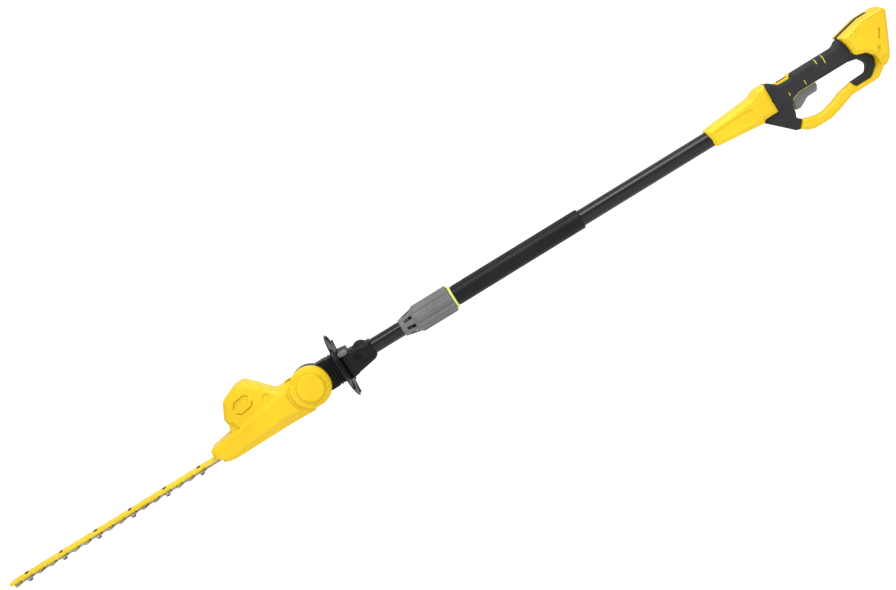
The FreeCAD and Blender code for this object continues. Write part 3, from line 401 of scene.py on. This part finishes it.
def pole_circle(block, radius):
    """Distance to a cylinder about the pole axis."""
    return np.sqrt(block.y ** 2 + block.z ** 2) - radius


def both(first, second, soft=0.0):
    """The part that two shapes share; soft rounds the edge between them."""
    if not soft:
        return np.maximum(first, second)
    overlap = np.maximum(soft - np.abs(first - second), 0) / soft
    return np.maximum(first, second) + overlap * overlap * soft * 0.25


def either(first, second, soft=0.0):
    """Two shapes together; soft fills the corner between them."""
    return -both(-first, -second, soft)


def without(shape, cutter, soft=0.0):
    """A shape with another cut away; soft rounds the edge of the cut."""
    return both(shape, -cutter, soft)


def across(block, low, high):
    """Distance to the slab between two side offsets."""
    return np.abs(block.y - (low + high) / 2) - (high - low) / 2


def across_pole(block, start, end):
    """Distance to the slab between two stations."""
    return np.abs(block.x - (start + end) / 2) - (end - start) / 2


def spoke_offset(block, count, shift):
    """Sideways distance to the nearest of some evenly spaced spokes round the pole."""
    angle = np.arctan2(block.z, block.y)
    turn = np.abs(np.mod(angle / (2 * math.pi) * count + shift, 1) - 0.5)
    return turn * 2 * math.pi / count * pole_circle(block, 0)


def chamfered(face, slab, size, soft=1.4):
    """A side view given its thickness, with a flat chamfer round both rims."""
    sharp = both(face, slab, soft)
    return both(sharp, (face + slab + size) * math.sqrt(0.5), soft)


def filleted(face, slab, radius):
    """A side view given its thickness, with round rims."""
    first = face + radius
    second = slab + radius
    outer = np.sqrt(np.maximum(first, 0) ** 2 + np.maximum(second, 0) ** 2)
    return np.minimum(np.maximum(first, second), 0) + outer - radius


def hollow(shape):
    """A shell of even wall thickness inside a shape."""
    return both(shape, -(shape + WALL))


def left_half(block, shape):
    """The near half of a split moulding."""
    return both(shape, block.y + SEAM_GAP / 2)


def right_half(block, shape):
    """The far half of a split moulding."""
    return both(shape, SEAM_GAP / 2 - block.y)


def mesh_of(name, block, shape, material, body, replaced=()):
    """Turn a distance block into a smooth mesh that rides on a body."""
    reach = 3 * block.step
    volume = openvdb.FloatGrid(reach)
    samples = (block.x.shape[0], block.y.shape[1], block.z.shape[2])
    values = np.clip(np.broadcast_to(shape, samples), -reach, reach)
    volume.copyFromArray(np.ascontiguousarray(values, np.float32), tolerance=1e-5)
    points, quads = volume.convertToQuads()
    points = points * block.step + np.array(block.low)
    points[:, 0] += STATION
    mesh = bpy.data.meshes.new(name)
    mesh.from_pydata((points * MM).tolist(), [], quads[:, ::-1].tolist())
    mesh.validate()
    for face in mesh.polygons:
        face.use_smooth = True
    piece = bpy.data.objects.new(name, mesh)
    bpy.context.scene.collection.objects.link(piece)
    mesh.materials.append(material)
    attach(piece, body)
    if replaced:
        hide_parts(*replaced)


# ---------------------------------------------------------------- head


HEAD_STEP = 0.8  # spacing of the sample points
PIVOT_STATION = 676.5
HEAD_LEFT = 31
HEAD_RIGHT = 30
LUMP_HALF = 25
FORK_HALF = 13.5
CHEEK_NEAR_RADIUS = 39.5
CHEEK_FAR_RADIUS = 34.5
CHEEK_DISC_RADIUS = 27  # the flat disc inside the cone of each cheek
CHEEK_SLOPE = 0.42
NOSE = [(455, -5, 5), (454, -20, 6), (462, -33, 8), (474, -39.5, 8)]
HEAD_BODY = NOSE + [(486, -42, 6), (660, -42.5, 9), (672, -36), (665, 28, 5), (500, 3, 12)]
LUMP = [(503, -8), (509, 18, 6), (507, 31, 7), (523, 61, 9), (556, 74.5, 9), (575, 74.5, 8),
        (596, 53, 12), (603, 43, 12), (618, 28, 12), (630, 28, 14), (650, 31, 6), (650, -8)]
HEAD_SCREWS = [(592, 45), (521, 43), (466, -13), (627, -30), (627, 12)]
BELLY_EDGE = [(480, -36), (516, -30), (566, -26), (606, -21), (648, -30), (662, -38)]
BELLY_SLOPE = 0.72
FOOT = [(468, -38), (474, -44.5), (501, -47.5), (508, -38)]
LUMP_WINDOW = [(537, 33, 3), (543, 27, 3), (562, 31, 3), (567, 38, 3), (562, 49, 3), (543, 45, 3)]


def belly_facet(block):
    """The long facet under the side: the body narrows below an edge that rises towards the fork."""
    stations, heights = zip(*BELLY_EDGE)
    edge = np.interp(block.x, stations, heights).astype(np.float32)
    allowed = HEAD_RIGHT + 0.5 - BELLY_SLOPE * np.maximum(edge - block.z, 0)
    return (np.abs(block.y) - allowed) / math.hypot(1, BELLY_SLOPE)


def cheek_disc(block):
    """The round cheeks over the pivot, each a cone with a flat disc in a groove."""
    round_pivot = side_circle(block, PIVOT_STATION, 0, 0)
    cheek_radius = np.where(block.y < 0, CHEEK_NEAR_RADIUS, CHEEK_FAR_RADIUS).astype(np.float32)
    cone = (np.abs(block.y) - HEAD_RIGHT - 0.5
            + CHEEK_SLOPE * np.maximum(round_pivot - CHEEK_DISC_RADIUS, 0))
    cheek = both(round_pivot - cheek_radius, cone / math.hypot(1, CHEEK_SLOPE), 2)
    groove = both(np.abs(round_pivot - CHEEK_DISC_RADIUS - 0.6) - 0.9, 29.2 - np.abs(block.y))
    return without(cheek, groove, 0.6)


def head_field(block):
    """The whole outer skin of the head, fork included."""
    body = chamfered(side_view(block, HEAD_BODY), across(block, -HEAD_LEFT, HEAD_RIGHT), 7.5)
    body = both(body, belly_facet(block), 1.2)
    lump = chamfered(side_view(block, LUMP), across(block, -LUMP_HALF, LUMP_HALF), 7)
    skin = either(body, lump, 4)
    foot = filleted(side_view(block, FOOT), across(block, -9, 9), 1.5)
    skin = either(skin, foot, 2)
    moat = both(np.abs(side_circle(block, PIVOT_STATION, 0, 43)) - 3.4, 26 - np.abs(block.y), 1)
    skin = without(skin, both(moat, block.x - 668), 1.5)
    skin = either(skin, cheek_disc(block), 1.5)
    fork = both(np.abs(block.y) - FORK_HALF, PIVOT_STATION - CHEEK_NEAR_RADIUS - block.x)
    return without(skin, fork, 1)


def head_details(block, skin):
    """The window with its sunk frame on the motor lump, a dimple behind it and the recess at its foot."""
    lump_face = np.abs(block.y) - LUMP_HALF
    window = side_view(block, LUMP_WINDOW)
    skin = without(skin, both(window, -(lump_face + 1.1), 0.8), 0.8)
    upper = side_line(block, [(535, 41), (541, 49), (563, 53), (569, 47)], 1.2)
    lower = side_line(block, [(535, 30), (542, 24), (566, 28), (571, 35)], 1.2)
    skin = without(skin, both(either(upper, lower), -(lump_face + 3.2), 0.6), 0.6)
    dimple = side_view(block, [(588, 19, 5), (602, 22, 5), (605, 34, 5), (591, 34, 5)])
    skin = without(skin, both(dimple, -(lump_face + 2.4), 1), 1.4)
    recess = side_view(block, [(500, 3), (525, 4), (519, 20, 3), (500, 20)])
    return without(skin, both(recess, -(lump_face + 3), 1), 1.4)


def add_wells(block, shell, screws, half, post_radius=5.6):
    """Screw posts inside a shell, and the wells that their heads sit in on the far side."""
    for station, height in screws:
        post = both(side_circle(block, station, height, post_radius), across(block, -half + 3, half - 1))
        well = both(side_circle(block, station, height, 3.6), half - 9.6 - block.y)
        shell = without(either(shell, post), well)
    return shell


def head_openings(block, shell):
    """Screw posts and wells, the mouth that the blades come out of, and the pivot bore with its seats."""
    for station, height in HEAD_SCREWS:
        half = LUMP_HALF if height > 29 else HEAD_RIGHT
        shell = add_wells(block, shell, [(station, height)], half, 5.8)
    mouth = both(side_view(block, [(440, -36.8), (481, -36.8), (481, -19), (440, -19)]),
                 np.abs(block.y) - 17)
    teeth_way = both(side_view(block, [(440, -34), (470, -34), (470, -25), (440, -25)]),
                     np.abs(block.y) - 27)
    pivot_hole = side_circle(block, PIVOT_STATION, 0, 5)
    for cutter in (mouth, teeth_way, pivot_hole):
        shell = without(shell, cutter)
    seat = side_circle(block, PIVOT_STATION, 0, 9.5)
    return without(shell, either(both(seat, 22.4 - block.y), both(seat, 26.8 + block.y)))


def make_head():
    """The two head shells."""
    block = Block((450, -35, -43), (722, 34, 74), HEAD_STEP)
    skin = head_details(block, head_field(block))
    shell = head_openings(block, hollow(skin))
    yellow = materials["yellow_shell"]
    mesh_of("head_shell_near", block, left_half(block, shell), yellow, "head",
            ("head_shell_left",))
    mesh_of("head_shell_far", block, right_half(block, shell), yellow, "head",
            ("head_shell_right",))


# ---------------------------------------------------------------- handle


HANDLE_STEP = 0.8  # spacing of the sample points
FRONT_HALF = 22.5
GRIP_HALF = 17
LOOP_HALF = 12.5
REAR_HALF = 37
FRONT_SEAM = [(1685, 36), (1685, -21.3), (1657, -21.7), (1651.5, -27)]
REAR_SEAM = [(1851, 33), (1860, 20, 10), (1863.5, -4, 8), (1880.5, -12, 10), (1892.5, -26, 12),
             (1885.5, -44, 12), (1868.5, -58, 4), (1836.5, -58), (1830.5, -48)]
LOOP_SEAM = [(1717.5, -58), (1705.5, -73)]
REAR_BACK = [(1848, 37.5, 3), (1897, 49, 8), (1940.5, 49, 6), (1948, 40, 6), (1919, -29, 6),
             (1912, -42, 6), (1897, -57, 8)]
HAND_OPENING = [(1865, -46.5, 8), (1874, -32, 10), (1862.5, -15.5, 12), (1838.5, -10.3, 12),
                (1736.5, -10, 4), (1718.5, -18, 8), (1712.5, -44, 8), (1709.5, -50, 4)]
LOOP_INSIDE = [(1803, -53, 10), (1783, -61, 15), (1760, -67, 8), (1745, -67, 8), (1730, -62.5, 8)]
LOOP_OUTSIDE = [(1718, -82, 6), (1732, -86.5, 10), (1766, -86.8, 12), (1787, -81.5, 20),
                (1822, -69.5, 15), (1881, -68.5, 6)]
GRIP_TOP = [(1696.5, 31, 6), (1708.5, 21, 8), (1732.5, 20, 4), (1738.5, 26, 4), (1832.5, 26, 15),
            (1842.5, 33, 8)]
FRONT_OUTLINE = [(1547, 18.8, 4), (1652, 28.5, 25), (1664, 36, 8)] + FRONT_SEAM + [(1552.5, -17.4, 5)]
GRIP_OUTLINE = (GRIP_TOP + REAR_SEAM + HAND_OPENING + LOOP_SEAM + [(1698, -71, 3)]
                + FRONT_SEAM[::-1])
REAR_OUTLINE = REAR_SEAM + LOOP_INSIDE + LOOP_SEAM + LOOP_OUTSIDE + REAR_BACK[::-1]
GRIP_BAR = [(1680, -21.3), (1718.5, -18, 8), (1736.5, -10, 4), (1838.5, -10.3, 8), (1858, -3, 8),
            (1872, 2, 6), (1872, 33), (1842.5, 33, 8), (1832.5, 26, 15), (1738.5, 26, 6),
            (1732.5, 20, 4), (1708.5, 21, 8), (1696.5, 31, 6), (1680, 36)]
BATTERY_BOX = ([(1847.5, 37.5), (1853.5, 20, 8), (1857.5, -4, 8), (1879, -11, 10), (1891, -25, 10),
                (1893, -45, 5), (1901, -53, 4)] + REAR_BACK[-2:0:-1])
DOCK_CORNER = Vector((1915.2, -17.6))
DOCK_ALONG = Vector((31, 69)).normalized()
DOCK_OUT = Vector((69, -31)).normalized()
DOCK_LENGTH = 47
DOCK_DEPTH = 16
TAPER_SLOPE = 0.6  # how fast the battery housing narrows below its side faces
FRONT_PANEL = [(1558, -8, 9), (1644, -11, 12), (1644, 13, 12), (1558, 10, 9)]
REAR_PANEL = [(1872, 9, 4), (1872, 29, 5), (1893, 41, 6), (1917, 42, 5), (1912, 16, 5), (1898, -6, 6),
              (1884, -2, 6)]
SHOULDER = [(1840, 28), (1866, 30), (1902, 40), (1920, 40), (1920, 56), (1890, 56), (1840, 42)]
TRIGGER_RIM = [(1713.2, -42), (1717.5, -24), (1722, -16.2), (1737, -10.8), (1779, -10.8)]
INLAY_STRIPS = [((1790, 18), (1790, 30), 0.9), ((1805, 11), (1805, 30), 0.9),
                ((1718.5, -1), (1718.5, -7), 0.8), ((1754.5, 4), (1754.5, -4.5), 0.8),
                ((1856, 2), (1856, 6), 0.7), ((1856.5, 8), (1856.5, 12), 0.7),
                ((1856, 14), (1855.5, 18), 0.7)]


def battery_housing(block):
    """The wide box at the rear, whose sides lean inwards below the side faces."""
    box = chamfered(side_view(block, BATTERY_BOX), across(block, -REAR_HALF, REAR_HALF), 7)
    edge = -25 - 0.19 * (block.x - 1894)
    taper = np.abs(block.y) - REAR_HALF + TAPER_SLOPE * np.maximum(edge - block.z, 0)
    return both(box, taper / math.hypot(1, TAPER_SLOPE), 1)


def handle_parts(block):
    """Outer skins of the front housing, the grip and the rear housing, each with its own thickness."""
    front = chamfered(side_view(block, FRONT_OUTLINE), across(block, -FRONT_HALF, FRONT_HALF), 7)
    grip_side = side_view(block, GRIP_OUTLINE)
    strut = filleted(grip_side, across(block, -LOOP_HALF, LOOP_HALF), 4.5)
    bar = filleted(side_view(block, GRIP_BAR), across(block, -GRIP_HALF, GRIP_HALF), 8)
    grip = either(strut, both(bar, grip_side), 3)
    loop = chamfered(side_view(block, REAR_OUTLINE), across(block, -LOOP_HALF, LOOP_HALF), 4.5)
    rear = either(loop, without(battery_housing(block), grip - 0.3), 5)
    return front, grip, rear


def make_front(block, front):
    """The front housing with its long side panels, a groove behind its lip and a bore for the tube."""
    panel = both(side_view(block, FRONT_PANEL), -(np.abs(block.y) - FRONT_HALF + 1.8), 0.8)
    skin = without(front, panel, 0.8)
    groove = both(np.abs(block.x - 1554.5) - 0.8, -(front + 0.9))
    skin = without(skin, groove, 0.6)
    collar = both(both(pole_circle(block, 20), block.x - 1578), skin)
    shell = without(either(hollow(skin), collar), pole_circle(block, 16.15))
    return add_wells(block, shell, [(1674, 27), (1674, -13)], FRONT_HALF)


def make_grip(block, grip):
    """The soft grip with openings for the trigger, the lock-off button and its saddle."""
    shell = hollow(grip)
    trigger_way = both(side_view(block, [(1716.3, -26), (1777, -26), (1777, 4), (1716.3, 4)]),
                       np.abs(block.y) - 7.5)
    button_way = both(side_view(block, [(1709.2, 10), (1731.8, 10), (1731.8, 30), (1709.2, 30)]),
                      np.abs(block.y) - 6.4)
    saddle_seat = both(side_view(block, [(1706.9, 20.3), (1734.1, 20.3), (1734.1, 40), (1706.9, 40)]),
                       np.abs(block.y) - 10.1)
    for cutter in (trigger_way, button_way, saddle_seat):
        shell = without(shell, cutter)
    shell = add_wells(block, shell, [(1745, 18), (1846, 8)], GRIP_HALF)
    return add_wells(block, shell, [(1700, -52)], LOOP_HALF)


def dock_slab(block, back, margin):
    """Distance to the battery's slot in the rear face, drawn from the side."""
    corners = ((-margin, back), (-margin, DOCK_DEPTH), (DOCK_LENGTH + margin, DOCK_DEPTH),
               (DOCK_LENGTH + margin, back))
    spots = [tuple(DOCK_CORNER + DOCK_ALONG * along + DOCK_OUT * out) for along, out in corners]
    return side_view(block, spots)


def make_rear(block, rear):
    """The rear housing and hand loop, with its panels and grooves and the slot for the battery."""
    side_face = np.abs(block.y) - REAR_HALF
    skin = without(rear, both(side_view(block, REAR_PANEL), -(side_face + 1.4), 0.8), 1)
    slit = side_line(block, [(1918.5, 17), (1909.5, 0)], 1.2)
    oval = side_line(block, [(1901.5, -13), (1899, -20)], 2.8)
    for mark in (slit, oval):
        skin = without(skin, both(mark, -(side_face + 3.5)), 0.6)
    rim = side_line(block, [(1933, 42), (1958, 34)], 0.8)
    brow = side_line(block, [(1866, 31), (1897, 42.5), (1932, 42.5)], 0.8)
    for mark in (rim, brow):
        skin = without(skin, both(mark, -(rear + 1.4)), 0.6)
    walls = both(both(dock_slab(block, -3, 3), np.abs(block.y) - 31), skin)
    recess = both(dock_slab(block, -0.1, 0.3), np.abs(block.y) - 28)
    shell = without(either(hollow(skin), walls), recess)
    return add_wells(block, shell, [(1798, -65)], LOOP_HALF)


def inlay_field(block, grip):
    """Thin coloured strips let into the grip, standing a third of a millimetre proud of it."""
    rim = side_line(block, TRIGGER_RIM, 1.1)
    marks = both(rim, 7.5 - np.abs(block.y))
    for start, end, half_width in INLAY_STRIPS:
        marks = either(marks, side_line(block, [start, end], half_width))
    proud = both(grip - 0.3, -(grip + 1.2))
    return both(both(marks, proud), 6 - np.abs(block.y))


def shoulder_field(block, rear):
    """A dark strip of soft plastic along the sloping front of the battery housing."""
    strip = both(np.abs(block.y) - 9, side_view(block, SHOULDER))
    return both(strip, both(rear - 0.4, -(rear + 1.4)))


def make_handle():
    """The housings in two halves each, with the strips let into them."""
    block = Block((1544, -40, -90), (1955, 40, 53), HANDLE_STEP)
    front, grip, rear = handle_parts(block)
    yellow = materials["yellow_shell"]
    black = materials["soft_grip"]
    for side, half in (("left", left_half), ("right", right_half)):
        mesh_of(f"front_cover_{side}", block, half(block, make_front(block, front)), yellow, "handle",
                (f"front_housing_{side}",))
        mesh_of(f"grip_cover_{side}", block, half(block, make_grip(block, grip)), black, "handle",
                (f"grip_shell_{side}",))
        mesh_of(f"rear_cover_{side}", block, half(block, make_rear(block, rear)), yellow, "handle",
                (f"rear_housing_{side}",))
    mesh_of("grip_inlays", block, inlay_field(block, grip), materials["inlay"], "handle")
    mesh_of("shoulder_strips", block, shoulder_field(block, rear), black, "handle")


# ---------------------------------------------------------------- controls and their springs


LOCK_STATION = 1720.5
WIRE_RADIUS = 0.5  # of both springs
SADDLE_HALF = 10
SADDLE = [(1704, 24.5, 1), (1708.5, 21.6, 4), (1732.5, 22, 4), (1737.5, 28.2, 2), (1735.5, 29.4, 1),
          (1731, 25.6, 3), (1711.5, 25.2, 3), (1704.5, 26.5, 1)]
TRIGGER = [(1717, -38.5, 2), (1727, -39, 5), (1737, -34, 9), (1747, -28, 9), (1769, -27.5, 5),
           (1774, -18, 3), (1773, -6, 3), (1760, -4.2, 3), (1733, 1.6, 4), (1720.5, 0.6, 5),
           (1719.2, -14, 5)]
FINGER_PAD = [(1722, -45), (1745, -45), (1772, -31), (1772, -25.5), (1748, -25.5, 8), (1737, -31, 8),
              (1726, -36, 4)]


def make_trigger(block):
    """The trigger on its pin, with slanting grooves under the finger."""
    trigger = filleted(side_view(block, TRIGGER), np.abs(block.y) - 7, 2.4)
    pad = both(side_view(block, FINGER_PAD), np.abs(block.y) - 4.2)
    grooves = np.abs((block.x + block.z * 0.4) % 4.0 - 2.0) - 0.7
    trigger = without(trigger, both(pad, grooves, 0.5), 0.5)
    trigger = without(trigger, side_circle(block, 1726, -5, 2.05))
    mesh_of("trigger_lever", block, trigger, materials["grey_moulding"], "trigger_lever",
            ("trigger",))


def make_saddle(block):
    """The yellow saddle round the lock-off button."""
    along = np.abs(block.x - LOCK_STATION)
    aside = np.abs(block.y)
    saddle = filleted(side_view(block, SADDLE), aside - SADDLE_HALF, 0.9)
    hole = both(both(along - 11.3, aside - 6.4), 19 - block.z)
    seat = both(both(along - 13.4, aside - SADDLE_HALF), np.abs(block.z - 21.9) - 1.4)
    saddle = without(either(saddle, seat, 1), hole)
    mesh_of("lock_off_saddle", block, saddle, materials["yellow_shell"], "handle",
            ("lock_off_bezel",))


def make_lock_off(block):
    """The lock-off button, grooved across its top."""
    along = block.x - LOCK_STATION
    plan = filleted(np.abs(along) - 10.7, np.abs(block.y) - 5.8, 3)
    button = filleted(plan, np.abs(block.z - 19.6) - 6.4, 1.8)
    grooves = both(np.abs(along % 3.4 - 1.7) - 0.55, 25 - block.z, 0.5)
    button = without(button, both(grooves, np.abs(along) - 7), 0.5)
    mesh_of("lock_off_cap", block, button, materials["black_moulding"], "lock_off",
            ("lock_off_button",))


def make_controls():
    """The trigger, the lock-off button and its saddle, all sampled in one fine block."""
    block = Block((1702, -14, -41), (1776, 14, 34), 0.5)
    make_trigger(block)
    make_saddle(block)
    make_lock_off(block)


def coil_mesh(name, foot, radius, wire, height, turns):
    """A round-wire spring standing on its foot, as a closed tube with capped ends."""
    around = 10
    along = 20 * turns
    points = []
    for i in range(along + 1):
        turn = 2 * math.pi * turns * i / along
        rise = wire + (height - 2 * wire) * i / along
        for j in range(around):
            lean = 2 * math.pi * j / around
            reach = radius + wire * math.cos(lean)
            points.append(at(foot[0] + reach * math.cos(turn), foot[1] + reach * math.sin(turn),
                             foot[2] + rise + wire * math.sin(lean)))
    faces = [tuple(range(around))[::-1]]
    for i in range(along):
        for j in range(around):
            k = (j + 1) % around
            faces.append((i * around + j, i * around + k, (i + 1) * around + k, (i + 1) * around + j))
    faces.append(tuple(along * around + j for j in range(around)))
    mesh = bpy.data.meshes.new(name)
    mesh.from_pydata(points, [], faces)
    return mesh


def make_spring(name, foot, radius, height, turns):
    """A coiled spring fixed to the handle, in place of the CAD spring."""
    spring = bpy.data.objects.new(name, coil_mesh(name, foot, radius, WIRE_RADIUS, height, turns))
    bpy.context.scene.collection.objects.link(spring)
    for face in spring.data.polygons:
        face.use_smooth = len(face.vertices) == 4
    spring.data.materials.append(materials["zinc"])
    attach(spring, "handle")
    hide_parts(name.replace("_coil", "_spring"))
    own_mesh(spring)


def make_springs():
    """The trigger spring hangs from the grip above it, and the lock-off spring stands on its seat."""
    make_spring("trigger_coil", (1767, 0, -4.8), radius=2.6, height=9.6, turns=6)
    make_spring("lock_off_coil", (LOCK_STATION, 0, 5.2), radius=3.2, height=7.6, turns=5)


# ---------------------------------------------------------------- neck, coupler and collar


GUARD_FACE = 746.2
GUARD_PROFILE = [(746.3, -5), (746.3, 30, 10), (743.6, 64, 0.8), (744.3, 65.8, 0.6), (745.8, 64, 0.8),
                 (749.7, 30, 10), (749.7, -5)]
GUARD_RIBS = 8
TONGUE_HALF = 13
TONGUE_HEIGHT = 29
BELLOWS_START = 718.5
BELLOWS_PITCH = 5.6
BELLOWS_RIBS = 4
BELLOWS_DEPTH = 2.6
COUPLER_START = 749.9
COUPLER_BLOCK = [(749.9, -30), (768, -27, 2), (768, 26.5, 2), (749.9, 29)]
COUPLER_TAIL = [(760, -28.5), (806, -20.5, 4), (812.6, -16, 3), (812.6, 15, 3), (775, 20, 4), (760, 20)]
COUPLER_SCREWS = [(762, -24), (790, -19), (762, 23)]
BOSS_STATION = 780
BOSS_HEIGHT = 1.5
RELEASE_BUTTON = [(749.5, 17.6, 5), (768.5, 17.6, 5), (768.5, 28.6, 5), (749.5, 28.6, 5)]
COLLAR_LOBES = 8
COLLAR_PROFILE = [(876, 15.1), (876, 17, 1), (905, 23.5, 2), (911, 26.9, 4), (982.5, 27, 1),
                  (984.6, 25.6, 1), (984.6, 19.3), (897, 19.3), (897, 15.1)]
SOCKET_PROFILE = [(936, 16.05), (991, 16.05), (991, 20.4, 1), (989.8, 23.3, 1), (986.6, 23.3, 1),
                  (985.2, 21, 0.6), (985.2, 19), (936, 19)]


def bellows_depth(block):
    """How deep the soft ribs of the neck are at each station."""
    along = block.x - BELLOWS_START
    wave = BELLOWS_DEPTH / 2 * (1 - np.cos(along * 2 * math.pi / BELLOWS_PITCH))
    inside = (along > 0) & (along < BELLOWS_RIBS * BELLOWS_PITCH)
    return np.where(inside, wave, 0).astype(np.float32)


def make_neck():
    """Round knuckle in the fork, and a rounded block with soft ribs like a bellows."""
    block = Block((636, -27, -40), (748, 27, 40), 0.8)
    knuckle = filleted(side_circle(block, PIVOT_STATION, 0, 37.7), np.abs(block.y) - TONGUE_HALF, 1.2)
    tongue = both(across_pole(block, 683, 722), np.abs(block.y) - TONGUE_HALF)
    tongue = both(tongue, np.abs(block.z) - TONGUE_HEIGHT)
    section = filleted(np.abs(block.y) - 25, np.abs(block.z) - TONGUE_HEIGHT, 11)
    neck = both(section + bellows_depth(block), across_pole(block, 717, GUARD_FACE), 1)
    shape = either(either(knuckle, tongue), neck, 1.5)
    shape = without(shape, side_circle(block, PIVOT_STATION, 0, 5.1))
    lead_way = both(pole_circle(block, 6), 697 - block.x)
    shape = without(shape, lead_way)
    spigot = both(both(pole_circle(block, 13.6), 745 - block.x), -pole_circle(block, 6))
    mesh_of("neck_block", block, either(shape, spigot), materials["black_moulding"], "inner_pole",
            ("neck_knuckle",))


def make_guard():
    """The branch guard: a shallow dished disc with a thin rounded rim and stiffening ribs."""
    block = Block((742, -67, -67), (752, 67, 67), 0.7)
    radius = pole_circle(block, 0)
    disc = outline_distance(block.x, radius, GUARD_PROFILE)
    rib = both(spoke_offset(block, GUARD_RIBS, 0.5) - 0.9, np.abs(radius - 47) - 15)
    rib = both(rib, np.abs(block.x - 748) - 1.3)
    disc = without(either(disc, rib, 1), radius - 13.7)
    mesh_of("guard_plate", block, disc, materials["black_moulding"], "inner_pole",
            ("guard_disc",))


def coupler_field(block):
    """The outer skin of the coupler: a block against the guard, then a domed tail round the tube."""
    front = filleted(side_view(block, COUPLER_BLOCK), np.abs(block.y) - 24, 6)
    tail = filleted(side_view(block, COUPLER_TAIL), np.abs(block.y) - 20.5, 9)
    reach = np.sqrt(((block.x - 791) / 17) ** 2 + (block.y / 20) ** 2 + ((block.z - 7) / 18) ** 2)
    tail = either(tail, (reach - 1) * 17, 2)
    skin = either(front, tail, 1.2)
    boss = np.abs(side_circle(block, BOSS_STATION, BOSS_HEIGHT, 5)) - 0.9
    skin = without(skin, both(boss, -(tail + 1.6)), 0.5)
    dot = side_circle(block, BOSS_STATION, BOSS_HEIGHT, 2)
    skin = without(skin, both(dot, -(tail + 3)), 0.5)
    groove = side_line(block, [(768, -9), (790, -12), (812, -11)], 0.7)
    skin = without(skin, both(groove, -(tail + 1.2)), 0.5)
    return both(skin, COUPLER_START - block.x)


def make_coupler():
    """Two halves bored for the tube, with screw wells in the far one and the button's way in the near."""
    block = Block((748, -28, -32), (815, 26, 31), 0.6)
    skin = without(coupler_field(block), pole_circle(block, 14.9))
    for station, height in COUPLER_SCREWS:
        skin = without(skin, both(side_circle(block, station, height, 2.5), 16 - block.y))
    button_way = both(side_view(block, RELEASE_BUTTON) - 0.5, block.y + 18.8)
    near = without(left_half(block, skin), button_way)
    black = materials["black_moulding"]
    mesh_of("coupler_near", block, near, black, "inner_pole", ("coupler_left",))
    mesh_of("coupler_far", block, right_half(block, skin), black, "inner_pole",
            ("coupler_right",))
    make_release_button(block)


def make_release_button(block):
    """The oval button that frees the tilt, sloping back at its top."""
    cap = filleted(side_view(block, RELEASE_BUTTON), np.abs(block.y + 24.2) - 2.2, 1.6)
    slope = (block.z - 23 - (block.y + 26.4) * 1.2) / 1.6 - 1
    mesh_of("release_button", block, both(cap, slope, 1.5), materials["grey_moulding"], "tilt_button",
            ("tilt_release_button",))


def make_collar():
    """The twist collar: a cone with windows, then broad finger lobes with fine flutes between them."""
    block = Block((874, -29, -29), (993, 29, 29), 0.7)
    radius = pole_circle(block, 0)
    spread = spoke_offset(block, COLLAR_LOBES, 0.25)
    collar = outline_distance(block.x, radius, COLLAR_PROFILE)
    valley = np.sqrt(spread ** 2 + (radius - 29.2) ** 2) - 5.2
    collar = without(collar, both(valley, 908.5 - block.x, 1), 1)
    flute = both(np.abs(spread - 7.4) - 0.5, 26.2 - radius)
    collar = without(collar, both(flute, np.abs(block.x - 948) - 26), 0.7)
    window = both(both(spread - 3.6, across_pole(block, 886, 903), 1), 15.5 - radius)
    collar = without(collar, window, 0.6)
    mesh_of("collar_grip", block, collar, materials["grey_moulding"], "collar",
            ("twist_collar",))
    ring = outline_distance(block.x, radius, SOCKET_PROFILE)
    mesh_of("socket_ring", block, ring, materials["ring"], "handle", ("collar_socket",))


materials = make_materials()
dress_nodes(materials)
make_camera()
make_studio()
make_head()
make_handle()
make_controls()
make_springs()
make_neck()
make_guard()
make_coupler()
make_collar()
